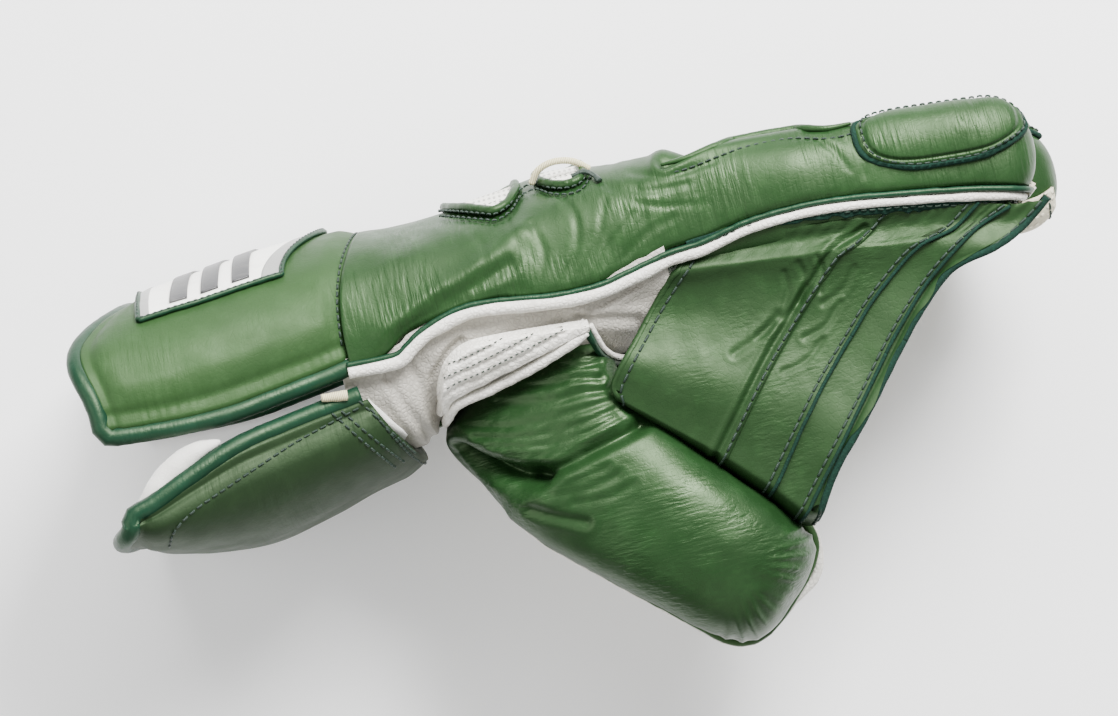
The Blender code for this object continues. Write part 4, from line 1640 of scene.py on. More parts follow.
@dataclass
class BackOfHand:
    """The back of the glove: the long leather, its lower part, windows, slit, elastic and lining."""

    thickness: float = 2.2
    lower_end: float = 189.0
    lining_depth: float = 10.5
    lip: tuple[Point, ...] = ((124, 40), (131, 37.5), (138, 35), (142, 34), (147, 36), (151, 40), (156, 41),
                              (160, 38.5), (165, 37), (170, 37.5), (174, 41))
    windows: tuple[tuple[str, float, float, str], ...] = (
        ("rear", 126.0, 150.0, "rear_vent"),
        ("front", 157.0, 171.5, "front_vent"),
    )
    elastic: tuple[Place, ...] = ((155, 41, 86), (158, 44.5, 88), (163, 46.0, 89), (169, 45.0, 88), (174, 41.5, 86))
    elastic_radius: float = 1.1
    tail: tuple[Place, ...] = ((168, 40, 92), (172, 40.5, 93), (175, 38.5, 95), (176, 36.5, 97))
    slit: tuple[Point, ...] = ((196, 36.5), (204, 36.8), (214, 38.3), (224, 39.3), (238, 38.6), (249, 36),
                               (257, 35.8))

    def build(self) -> None:
        """The back of the glove: the long leather, its lower part, windows, elastic and lining."""
        leather = self.leather()
        shell("back_leather", leather, self.thickness, LOOKS.green, on=INDEX.crossing,
              stands_for=("back_panel", "index_stall"))
        rows = np.linspace(0.0, 1.0, 90)[:, None]
        degrees = np.linspace(90.0, 184.0, 110)[None, :]
        x = back_seam(degrees) + (self.lower_end - back_seam(degrees)) * rows
        drawn_in = -0.6 - 5.0 * smooth(176.0, self.lower_end, x) ** 1.5 + 0 * degrees
        lower = Skin(HAND.points(x, degrees + 0 * x, drawn_in), (0.0, 1.0, -0.2))
        soft = 0.8 * noise(lower.points, 24.0, 41) + 0.25 * noise(lower.points, 6.0, 42) - 0.5
        lower = lower.raised(soft)
        shell("lower_back_leather", lower, self.thickness, LOOKS.green, on=BodyName.HAND,
              stands_for=("back_foam",))
        spots, normals = leather.at(np.linspace(0.01, 0.46, 150), np.full(150, 0.965), 0.1)
        stitches("back_join_stitches", spots, normals, Thread(), on=BodyName.HAND)
        rows = np.linspace(88.0, 186.0, 60)[:, None]
        degrees = np.linspace(-180.0, 180.0, 90, endpoint=False)[None, :]
        cotton = Skin(HAND.points(rows, degrees + 0 * rows, -self.lining_depth), (0.0, 0.0, -1.0), closed=True)
        shell("hand_cotton", cotton.raised(0.6 * noise(cotton.points, 10.0, 43)), 1.0, LOOKS.lining,
              on=BodyName.HAND, stands_for=("back_lining",))
        self.build_windows()
        self.build_slit()

    def leather(self) -> Skin:
        """The one sheet of leather from the wrist over the back of the hand to the index fingertip.

        Returns:
            The surface.
        """
        rows = INDEX.rows(98.0, 205, 16)[:, None]
        share = np.linspace(0.0, 1.0, 100)[None, :]
        low = UPPER.angle_at(rows, welt_y(rows))
        high = 104.0 + 74.0 * smooth(180.0, 206.0, rows)
        degrees = low + (high - low) * share
        x = rows - (98.0 - back_seam(degrees)) * (1.0 - smooth(98.0, 122.0, rows))
        skin = Skin(UPPER.points(x, degrees), (0.0, 0.6, 1.0))
        points = skin.points
        height = 0.9 * noise(points, (30.0, 22.0, 22.0), 12) + 0.35 * noise(points, (9.0, 9.0, 9.0), 13)
        fine = np.exp(-(((points[..., 0] - 185.0) / 32.0) ** 2))
        height += 0.28 * fine * noise(points, (2.6, 9.0, 9.0), 14)
        height += folded(points, BACK_FOLDS) * smooth(-0.1, 0.4, skin.normals[..., 2] + 0.6)
        height += 1.6 * np.exp(-(((points[..., 0] - 231.0) / 20.0) ** 2 + ((points[..., 1] - 20.0) / 14.0) ** 2))
        height += -0.9 * np.exp(-((share / 0.02) ** 2)) * np.ones_like(rows)
        return skin.raised(height)

    def build_windows(self) -> None:
        """Two mesh windows with wavy rolled lips, double stitched, and the elastic loop between the knuckles."""
        lip = curve(self.lip, 160)
        for name, start, end, node in self.windows:
            x = np.linspace(start, end, 40)[:, None]
            top = UPPER.angle_at(x, np.interp(x, lip[:, 0], lip[:, 1]))
            share = np.linspace(0.0, 1.0, 40)[None, :]
            bulge = np.sqrt(np.clip(1 - ((x - (start + end) / 2) / ((end - start) / 2)) ** 2, 0, 1))
            far = np.maximum(100.0 + 12.0 * bulge - 8.0, top + 2.0)
            grid = Skin(UPPER.points(x, top + (far - top) * share), (0.0, 1.0, 0.3))
            mesh = grid.raised(1.1 + 0.25 * noise(grid.points, 7.0, 51))
            shell(f"{name}_mesh_window", mesh, 1.0, LOOKS.mesh, on=BodyName.HAND, stands_for=(node,))
            u = np.concatenate([np.linspace(0, 1, 60), np.ones(40), np.linspace(1, 0, 60), np.zeros(40)])
            v = np.concatenate([np.zeros(60), np.linspace(0, 1, 40), np.ones(60), np.linspace(1, 0, 40)])
            spots, normals = mesh.at(u, v, 0.3)
            roll(f"{name}_window_lip", spots, 1.5, LOOKS.green, 10, pucker=0.1, on=BodyName.HAND)
        spots, normals = on_form(UPPER, lip + np.array([0.0, -2.6]), 0.5)
        stitches("window_stitches_a", spots, normals, Thread(2.4, 1.6, 0.34),
                 on=BodyName.HAND)
        spots, normals = on_form(UPPER, lip + np.array([0.0, -1.0]), 1.0)
        stitches("window_stitches_b", spots, normals, Thread(2.4, 1.6, 0.34),
                 on=BodyName.HAND)
        roll("elastic_cord", curve(self.elastic, 40), self.elastic_radius, LOOKS.elastic, 10,
             on=BodyName.HAND, stands_for=("elastic_loop",))
        roll("elastic_tail", curve(self.tail, 24), 0.9, LOOKS.thread, 8, pucker=0.3, on=BodyName.HAND)

    def build_slit(self) -> None:
        """The rolled lip of the stretch slit along the back of the index finger."""
        route = curve(self.slit, 90)
        spots, _ = on_form(UPPER, route, 0.6)
        radius = 1.5 * np.sin(np.linspace(0.12, math.pi - 0.12, 90)) ** 0.5
        roll("slit_lip", spots, radius, LOOKS.green, 12, pucker=0.06, on=INDEX.crossing)
        spots, normals = on_form(UPPER, route + np.array([0.0, -3.0]), 0.2)
        stitches("slit_stitches", spots, normals, Thread(2.6, 1.8, 0.32),
                 on=INDEX.crossing)


@dataclass
class ThumbSide:
    """The thumb side of the hand: white gusset, quilted panel, welts and the suede edge."""

    thickness: float = 2.0
    piping: tuple[Point, ...] = ((86, -1.8), (101, -2.0), (106, 0.5), (112, 4), (124, 7.5), (135, 7.5), (154, 5),
                                 (168, 5), (178, 7), (192, 10), (203, 11), (218, 14), (235, 15), (251, 14), (266, 12),
                                 (291, 8), (309, 4))
    quilt_top: tuple[Point, ...] = ((110.8, -25), (111.2, -19), (112.8, -14), (116.6, -8), (123.7, -4),
                                    (135.8, -3.9), (153.5, -5.2), (162.5, -6))
    quilt_low: tuple[Point, ...] = ((110.8, -25.6), (113.5, -20.5), (117.6, -18.2), (127.6, -16.3), (144.4, -12),
                                    (161.8, -7.2))
    quilt_rows: tuple[float, ...] = (2.6, 5.8, 9.0)
    quilt_height: float = 3.0
    quilt_sink: float = 1.8
    thumb_welt: tuple[Point, ...] = ((110.6, -29.5), (111.6, -25), (114.0, -21.6), (118.4, -19.6), (128, -17.9),
                                     (145, -13.7), (161.5, -8.2))
    keyhole: tuple[Point, ...] = ((161.5, -8), (162.6, -12), (164, -16), (167, -19.5), (171, -21))
    suede: tuple[Point, ...] = ((198, 8.5), (209, 9.5), (222, 11), (242, 9.5), (263, 6.5), (287, 2.5), (312, -1.5))
    suede_width: float = 3.2
    suede_thickness: float = 1.2

    def build(self) -> None:
        """The thumb side of the hand: white gusset, quilted panel, welts and the suede edge."""
        gusset = self.gusset()
        shell("white_gusset", gusset, self.thickness, LOOKS.gusset, on=BodyName.HAND,
              stands_for=("side_gusset",))
        self.build_quilt()
        route = curve(self.piping, 340)
        spots, _ = on_form(UPPER, route + np.array([0.0, -0.6]), 0.5)
        roll("side_piping", spots, 0.95, LOOKS.binding, 10, pucker=0.12, on=INDEX.crossing,
             stands_for=("hand_welt",))
        spots, _ = on_form(UPPER, route + np.array([0.0, -3.0]), 0.1)
        width = 2.0 + 0.3 * noise(spots, 8.0, 71) - 0.5 * smooth(190.0, 215.0, spots[:, 0])
        roll("white_piping", spots, width, LOOKS.white, 12, pucker=0.07, on=INDEX.crossing,
             stands_for=("index_welt",))
        self.build_suede_edge()

    def gusset(self) -> Skin:
        """The white side leather below the welt, sunk between the palm cuff and the quilted panel.

        Returns:
            The surface.
        """
        rows = np.linspace(84.0, 191.0, 140)[:, None]
        share = np.linspace(0.0, 1.0, 90)[None, :]
        low = HAND.angle_at(rows, welt_y(rows) + 2.6)
        degrees = low + (-84.0 - low) * share
        skin = Skin(HAND.points(rows, degrees), (0.0, -0.5, 1.0))
        x, y = skin.points[..., 0], skin.points[..., 1]
        sunk = -2.4 * np.exp(-(((x - 105.0) / 8.0) ** 2)) * smooth(2.0, -14.0, y)
        sunk += 8.0 * np.exp(-(((x - 104.0) / 9.0) ** 2 + ((y + 29.0) / 11.0) ** 2))
        soft = 0.9 * noise(skin.points, (14.0, 14.0, 14.0), 61) + 0.4 * noise(skin.points, 5.0, 62)
        folds = folded(skin.points, (
            Fold(((112, -36), (110, -27), (111, -17), (117, -8), (122, -4)), 1.6, 1.6, 0.2),
            Fold(((98, -10), (101, -20), (106, -32)), 1.4, 0.8),
            Fold(((104, -4), (107, -14), (108, -24)), 1.2, 0.7),
            Fold(((165, -4), (172, -2), (181, 1)), 1.4, 0.8),
            Fold(((160, -6), (170, -9), (178, -12)), 1.6, 0.9),
        ))
        deep = -2.0 * smooth(172.0, 186.0, x) * smooth(4.0, -8.0, y) - 3.0
        return skin.raised((sunk + soft + folds + deep) * smooth(0.05, 0.12, share) - 0.9)

    def build_quilt(self) -> None:
        """The raised white panel in front of the thumb, with three scalloped rows of stitching."""
        top = curve(self.quilt_top, 110)
        low = curve(self.quilt_low, 110)
        share = np.linspace(0.0, 1.0, 56)[:, None, None]
        flat = top[None] * (1 - share) + low[None] * share
        across = share[..., 0]
        base = HAND.points(flat[..., 0], HAND.angle_at(flat[..., 0], flat[..., 1]))
        skin = Skin(base, (0.0, -0.4, 1.0))
        end = np.linspace(0, 1, 110)[None]
        edge = smooth(0.0, 0.14, across) * smooth(1.0, 0.93, across) * smooth(0.0, 0.07, end)
        from_low = distance_to(low, base)
        wave = 0.5 * np.abs(np.sin(base[..., 0] * 1.1))
        channels = np.zeros_like(from_low)
        for place in self.quilt_rows:
            channels -= 0.75 * np.exp(-(((from_low - place - wave) / 0.55) ** 2))
        soft = 0.3 * noise(base, 3.4, 63)
        quilt = skin.raised(self.quilt_height * edge - self.quilt_sink * (1 - edge) + (channels + soft) * edge)
        piece = shell("quilted_white_panel", quilt, self.thickness, LOOKS.white, on=BodyName.HAND,
                      stands_for=("quilted_panel",))
        for k, place in enumerate(self.quilt_rows):
            route = low + np.array([-0.25, 0.97]) * place
            inside = route[:, 1] < np.interp(route[:, 0], top[25:, 0], top[25:, 1]) - 1.0
            spots, normals = quilt.drape(route[inside & (route[:, 0] > 114.0)], 0.1)
            stitches(f"quilt_stitches_{k}", spots, normals, Thread(2.0, 0.9, 0.24, 0.05),
                     on=BodyName.HAND)
        route = curve(self.thumb_welt, 110)
        spots, _ = on_form(HAND, route, np.interp(np.arange(110), (0, 12, 109), (-1.0, 2.2, 2.0)))
        radius = np.interp(np.arange(110), (0, 12, 100, 109), (0.9, 1.9, 1.8, 1.0))
        roll("thumb_white_piping", spots, radius, LOOKS.white, 14, pucker=0.08, on=BodyName.HAND)
        keyhole = curve(self.keyhole, 30)
        spots, _ = on_form(HAND, keyhole, 0.0)
        roll("keyhole_edge", spots, 1.2, LOOKS.binding, 10, pucker=0.15, on=BodyName.HAND)
        spots, _ = on_form(HAND, keyhole + np.array([1.6, 0.8]), -0.4)
        roll("keyhole_white_edge", spots, 0.9, LOOKS.white, 10, pucker=0.15, on=BodyName.HAND)

    def build_suede_edge(self) -> None:
        """The raw suede edge that shows below the white piping, uneven as cut."""
        route = curve(self.suede, 220)
        width = np.linspace(0.0, 1.0, 9)[:, None, None]
        fray = 0.7 * noise(np.column_stack([route * 1.0, np.zeros(220)]), 1.8, 81)
        inner = route + np.array([0.0, self.suede_width])
        outer = route + np.stack([np.zeros(220), -0.6 + fray], axis=1)
        flat = inner[None] * (1 - width) + outer[None] * width
        points = UPPER.points(flat[..., 0], UPPER.angle_at(flat[..., 0], flat[..., 1]), 0.4)
        ripple = 0.5 * noise(points, 3.0, 82) * width[..., 0]
        skin = Skin(points, (0.0, -0.3, 1.0)).raised(ripple)
        shell("raw_suede_edge", skin, self.suede_thickness, LOOKS.suede, on=INDEX.crossing,
              stands_for=("index_suede_edge",))
        spots, normals = skin.at(np.full(220, 0.55), np.linspace(0.01, 0.99, 220), 0.15)
        stitches("suede_stitches", spots, normals, Thread(2.6, 1.9, 0.34),
                 on=INDEX.crossing)


@dataclass
class Palm:
    """The palm leather, its rubber facing and the strip along the little-finger edge."""

    length: Point = (92.0, 192.0)
    around: Point = (-76.0, -182.0)
    tuck: float = 19.0
    thickness: float = 2.2
    facing: float = 1.2
    strip_length: Point = (100.0, 186.0)
    strip_around: Point = (162.0, 198.0)
    strip_thickness: float = 1.4

    def build(self) -> None:
        """The palm leather, its rubber facing and the seam along the little-finger edge."""
        rows = np.linspace(*self.length, 100)[:, None]
        degrees = np.linspace(*self.around, 110)[None, :]
        drawn_in = -self.tuck * smooth(176.0, self.length[1], rows) + 0 * degrees
        palm = Skin(HAND.points(rows, degrees + 0 * rows, drawn_in), (0.0, -1.0, 0.0))
        palm = palm.raised(0.7 * noise(palm.points, 18.0, 91) + 0.25 * noise(palm.points, 6.0, 92) - 0.6)
        shell("palm_leather", palm, self.thickness, LOOKS.green, on=BodyName.HAND,
              stands_for=("palm_panel",))
        u = np.linspace(0.24, 0.78, 70)[:, None]
        v = np.linspace(0.2, 0.84, 70)[None, :]
        spots, _ = palm.at((u + 0 * v).ravel(), (v + 0 * u).ravel(), 1.5)
        facing = Skin(spots.reshape(70, 70, 3), (0.0, -1.0, 0.0))
        shell("palm_rubber_facing", facing, self.facing, LOOKS.rubber, on=BodyName.HAND,
              stands_for=("palm_facing",))
        low, high = 0.03, 0.97
        there, back = np.linspace(low, high, 70), np.linspace(high, low, 70)
        u = np.concatenate([there, np.full(60, high), back, np.full(60, low)])
        there, back = np.linspace(low, high, 60), np.linspace(high, low, 60)
        v = np.concatenate([np.full(70, low), there, np.full(70, high), back])
        spots, normals = facing.at(u, v, 0.1)
        stitches("palm_facing_stitches", spots, normals, Thread(), on=BodyName.HAND)
        rows = np.linspace(*self.strip_length, 70)[:, None]
        degrees = np.linspace(*self.strip_around, 30)[None, :]
        strip = Skin(HAND.points(rows, degrees + 0 * rows, 0.5), (0.0, 0.0, -1.0))
        shell("ulnar_strip", strip, self.strip_thickness, LOOKS.web, on=BodyName.HAND,
              stands_for=("ulnar_panel",))


# ---------------------------------------------------------------- thumb
def from_thumb(s: Array, w: Array, z: Array) -> Array:
    """Design points from thumb coordinates: s along the thumb, w across it towards the index finger."""
    s, w, z = np.broadcast_arrays(np.asarray(s, float), np.asarray(w, float), np.asarray(z, float))
    return np.stack([(s + w) * math.sqrt(0.5), (w - s) * math.sqrt(0.5), z], axis=-1)


def thumb_place(points: Array) -> tuple[Array, Array]:
    """The thumb coordinates s and w of design points."""
    return (points[..., 0] - points[..., 1]) * math.sqrt(0.5), (points[..., 0] + points[..., 1]) * math.sqrt(0.5)


OVER_THUMB_JOINT = Crossing(BodyName.THUMB, (128.7, -29.7, 80.0), (149.9, -50.9, 80.0))


@dataclass(frozen=True)
class ThumbForm:
    """The thumb's outline and height along s; its tip closes over a dome."""

    knots: tuple[tuple[float, ...], ...] = (
        (98.5, 58.5, 64.0, 77.0, 70.0),
        (101.0, 54.0, 77.0, 82.5, 64.0),
        (106.0, 51.4, 89.0, 87.5, 62.5),
        (113.0, 49.6, 101.0, 92.5, 62.0),
        (121.0, 47.6, 110.0, 96.5, 62.0),
        (129.0, 45.6, 108.0, 99.0, 62.0),
        (138.0, 44.8, 101.0, 101.5, 62.0),
        (150.0, 44.7, 97.0, 102.5, 62.0),
        (170.0, 45.8, 94.0, 104.5, 62.0),
        (190.0, 47.0, 93.0, 105.0, 62.0),
        (205.0, 47.8, 92.6, 103.5, 62.0),
    )
    dome: float = 17.0

    def read(self, s: Array) -> list[Array]:
        """Middle w, half w, middle z and half z at s.

        Args:
            s: places along the thumb.

        Returns:
            The four values at each place.
        """
        table = curve(self.knots, 120)
        low, high, top, bottom = (np.interp(s, table[:, 0], table[:, k]) for k in range(1, 5))
        into = np.clip((s - 205.0) / self.dome, 0.0, 0.9995)
        across = (1.0 - into**3.2) ** (1.0 / 3.2)
        tall = (1.0 - into**2.2) ** (1.0 / 2.2)
        middle = (low + high) / 2 + 1.0 * into
        return [middle, (high - low) / 2 * across, (top + bottom) / 2, (top - bottom) / 2 * tall]

    def points(self, s: Array, degrees: Array) -> Array:
        """Points at s and angle: 0 is the top and 90 the side facing the index finger.

        Args:
            s: places along the thumb.
            degrees: angles round it.

        Returns:
            The points.
        """
        w, half_w, z, half_z = self.read(s)
        turn = np.radians(degrees)
        power = 2.0 / 2.7
        out = w + half_w * np.sign(np.sin(turn)) * np.abs(np.sin(turn)) ** power
        up = z + half_z * np.sign(np.cos(turn)) * np.abs(np.cos(turn)) ** power
        return from_thumb(s, out, up)


THUMB_FORM = ThumbForm()
THUMB_FOLDS = (
    Fold(((112, -38), (117, -42.5), (124, -46), (131, -48.6), (136, -49.5)), 3.6, 8.5, 0.04),
    Fold(((134, -48.6), (139, -49.4), (150, -46.8), (163, -43.5), (172, -41)), 1.9, 2.4, 0.25),
    Fold(((119, -33), (130, -36), (142, -37), (154, -36.5), (165, -34.5)), 1.1, 0.6, 0.4),
    Fold(((123, -37), (134, -39.6), (145, -40.4), (156, -39.5), (166, -37)), 1.0, 0.6, 0.4),
    Fold(((128, -41), (138, -43), (148, -43.4), (158, -42), (167, -39)), 1.0, 0.5, 0.4),
    Fold(((117, -29), (128, -32), (140, -33), (152, -32.5), (164, -31.5)), 1.1, 0.5, 0.4),
    Fold(((128, -24), (138, -26.5), (147, -27.5), (156, -27), (165, -28)), 1.3, 0.7, 0.4),
    Fold(((137, -20.5), (145, -21.8), (154, -22), (163, -24)), 1.1, 0.6, 0.4),
    Fold(((149, -16), (156, -18.5), (164, -19)), 1.0, 0.5, 0.4),
    Fold(((139, -56), (150, -57), (161, -55)), 1.3, 0.5, 0.35),
    Fold(((136, -53), (147, -54), (158, -52)), 1.2, 0.5, 0.35),
    Fold(((146, -60), (156, -61), (165, -59)), 1.2, 0.4, 0.35),
    Fold(((132, -59), (139, -63), (148, -67)), 1.4, 0.8, 0.3),
)


@dataclass
class Thumb:
    """The thumb: leather, padded sole with its white edge, piping, and the gathered seam at the tip."""

    thickness: float = 2.0
    sole: float = 1.4
    sole_z: float = 61.6
    edge_z: float = 62.2
    flange_z: float = 66.0
    start: float = 118.0
    tip_seam: tuple[Point, ...] = ((212, 88.5), (216, 80), (218.3, 69.5), (215.5, 60.0), (209.5, 52.5), (200, 49.6))

    def build(self) -> None:
        """The thumb: leather, padded sole with its white edge, piping, and the gathered seam at the tip."""
        leather = self.leather()
        piece = shell("thumb_leather", leather, self.thickness, LOOKS.thumb, tip=True,
                      on=OVER_THUMB_JOINT,
                      stands_for=("thumb_side_wall", "thumb_roof", "thumb_back_pad", "thumb_base_roof",
                      "thumb_base_side", "thumb_base_floor"))
        plan = self.outline(0.6)
        from_end = np.minimum(np.arange(len(plan)), np.arange(len(plan))[::-1])
        taper = np.sqrt(np.clip(from_end / 22.0, 0.03, 1.0))
        plan = plan - (1.0 - taper)[:, None] * np.array([0.0, 3.0]) * np.sign(plan[:, 1:] - 78.0)
        rim = from_thumb(plan[:, 0], plan[:, 1], self.flange_z)
        roll("thumb_flange", rim, 1.5 * taper, LOOKS.cuff, 10, pucker=0.1, on=OVER_THUMB_JOINT)
        plan = self.outline(0.9)
        plan = plan - (1.0 - taper)[:, None] * np.array([0.0, 3.0]) * np.sign(plan[:, 1:] - 78.0)
        tongue = 2.8 * np.exp(-(((plan[:, 1] - 80.0) / 8.0) ** 2)) * smooth(206.0, 216.0, plan[:, 0])
        edge = from_thumb(plan[:, 0] + tongue, plan[:, 1], self.edge_z + 2.5 * (1.0 - taper))
        roll("thumb_sole_edge", edge, 1.7 * taper, LOOKS.white, 10, pucker=0.1, on=OVER_THUMB_JOINT,
             stands_for=("thumb_sole_welt",))
        share = np.linspace(0.02, 0.98, 40)[:, None]
        rows = np.linspace(122.0, 219.5, 130)
        middle, half, _, _ = THUMB_FORM.read(rows)
        w = (middle - half + 0.4)[None] + (2 * half - 0.8)[None] * share
        sole = Skin(from_thumb(rows[None] + 0 * w, w, self.sole_z), (0.0, 0.0, -1.0))
        shell("thumb_rubber_sole", sole.raised(0.3 * noise(sole.points, 12.0, 111)), self.sole, LOOKS.rubber,
              on=OVER_THUMB_JOINT, stands_for=("thumb_sole",))
        self.build_tip_seam()

    def build_tip_seam(self) -> None:
        """The gathered seam round the thumb's tip, with its slanted stitches."""
        seam = curve(self.tip_seam, 90)
        ring = from_thumb(seam[:, 0], seam[:, 1], np.interp(np.arange(90), (0, 20, 60, 89), (86.0, 85.0, 84.0, 82.0)))
        outward = np.gradient(ring, axis=0)
        outward = np.cross(outward, (0.0, 0.0, 1.0))
        outward /= np.linalg.norm(outward, axis=1, keepdims=True)
        outward *= -np.sign(outward[45] @ from_thumb(-1.0, 0.0, 0.0))
        roll("thumb_tip_seam", ring + outward * 1.2, 1.3, LOOKS.binding, 10, pucker=0.2,
             on=BodyName.THUMB)
        lean = outward * 0.8 + np.array([0.0, 0.0, 0.6])
        stitches("thumb_tip_stitches", ring + outward * 1.2 + lean * 1.4, lean,
                 Thread(2.4, 1.7, 0.36, 0.2, 0.9), on=BodyName.THUMB)

    def leather(self) -> Skin:
        """The thumb's outer leather: wrinkled base, plump pad and gathered tip.

        Returns:
            The surface.
        """
        turns = np.linspace(0.0, 0.5 * math.pi * 0.975, 34)
        rows = np.concatenate([np.linspace(98.7, 205.0, 170, endpoint=False), 205.0 + 17.0 * np.sin(turns)])[:, None]
        degrees = np.linspace(0.0, 360.0, 190, endpoint=False)[None, :]
        skin = Skin(THUMB_FORM.points(rows, degrees + 0 * rows), (0.0, 0.0, 1.0), closed=True)
        points = skin.points
        s, w = thumb_place(points)
        up = smooth(-0.15, 0.35, skin.normals[..., 2])
        line = np.interp(w, (45.0, 55.0, 60.6, 63.4, 73.2, 84.5, 93.0),
                         (124.0, 127.0, 129.6, 133.0, 139.4, 146.5, 150.5))
        plump = 2.0 * smooth(0.0, 8.0, s - line) * smooth(216.0, 196.0, s)
        plump += 1.6 * np.exp(-(((s - 180.0) / 30.0) ** 2 + ((w - 72.0) / 22.0) ** 2)) - 1.0
        around = np.arctan2(s - 196.0, w - 70.0)
        gather = smooth(203.0, 212.0, s) * smooth(222.0, 215.0, s)
        pleats = -0.9 * gather * np.abs(np.sin(around * 17.0 + 0.8 * noise(points, 12.0, 104)))
        soft = 0.8 * noise(points, (18.0, 18.0, 18.0), 101) * smooth(200.0, 150.0, s) + 0.3 * noise(points, 7.0, 102)
        rough = 0.22 * noise(points, (3.0, 3.0, 3.0), 103) * smooth(146.0, 128.0, s)
        height = (plump + folded(points, THUMB_FOLDS) + rough) * up + soft + pleats
        return skin.raised(height)

    def outline(self, outset: float, count: int = 220) -> Array:
        """The thumb's plan outline in s and w, from the web side of the base round the tip.

        Args:
            outset: how far outside the thumb it runs.
            count: how many points it has.

        Returns:
            The outline's points.
        """
        turns = np.linspace(0.0, 0.5 * math.pi, 40)
        rows = np.concatenate([np.linspace(self.start, 205.0, 50, endpoint=False), 205.0 + 17.0 * np.sin(turns)])
        middle, half, _, _ = THUMB_FORM.read(rows)
        high = np.column_stack([rows, middle + half])
        low = np.column_stack([rows, middle - half])[::-1]
        route = curve(np.vstack([high[::3], low[::3]]), count)
        along = np.gradient(route, axis=0)
        along /= np.maximum(np.linalg.norm(along, axis=1, keepdims=True), 1e-9)
        return route + np.column_stack([along[:, 1], -along[:, 0]]) * -outset


# ---------------------------------------------------------------- web
@dataclass(frozen=True)
class Rail:
    """A seam across the web, from the index finger to the thumb: its place between the edges, and its route."""

    place: float
    route: tuple[Point, ...]


RAILS = (
    Rail(0.0, ((198, 11), (194, 5), (190, 1), (183, -6), (175, -15), (168, -23), (165, -28), (166.5, -33))),
    Rail(0.52, ((263, 6), (252, -1), (245, -3.5), (238, -10), (230, -18), (214, -35), (193, -61))),
    Rail(0.72, ((291, 3), (282, -3), (269, -7), (254, -18), (243, -29), (227, -46), (205, -74))),
    Rail(0.88, ((300, 0), (286, -6), (271, -17), (256, -32), (243, -48), (226, -68), (213, -84))),
    Rail(1.0, ((313, -1), (304, -8), (293, -13), (279, -16), (267, -26), (257, -37), (240, -57), (229, -69),
               (219, -85))),
)
WEB_FOLDS = (
    Fold(((254, 3), (243, -1), (236, -7.5), (228, -15.5), (212, -32.5), (191, -58)), 1.1, 0.8, 0.5),
    Fold(((231, -3), (232, -8), (229, -15)), 1.0, 0.4, 0.4),
    Fold(((237, -2), (238, -7), (236, -13)), 0.9, 0.4, 0.4),
    Fold(((226, -5), (226, -11), (222, -18)), 1.0, 0.35, 0.4),
    Fold(((232, -11), (225, -17), (214, -22)), 1.2, 0.4, 0.4),
    Fold(((221, -17), (215, -22), (205, -26)), 1.2, 0.35, 0.4),
    Fold(((248, -8), (243, -14), (236, -17)), 1.0, 0.35, 0.4),
    Fold(((241, -18), (235, -24), (228, -26)), 1.0, 0.35, 0.4),
    Fold(((233, -28), (227, -33), (219, -35)), 1.0, 0.3, 0.4),
)
MIDDLE_OF_WEB = np.array([222.0, -30.0])
ACROSS_WEB = np.array([0.40, 0.9165])


def shade_like(piece: bpy.types.Object, skin: Skin) -> None:
    """Gives a shell its skin's own normals, so two halves of one sheet show no line where they meet."""
    face = skin.normals.reshape(-1, 3)
    piece.data.normals_split_custom_set_from_vertices([tuple(n) for n in np.concatenate([face, -face])])


class WebSide(str, Enum):
    """The half of the web sewn to the index finger and the one sewn to the thumb."""

    INDEX = "index"
    THUMB = "thumb"


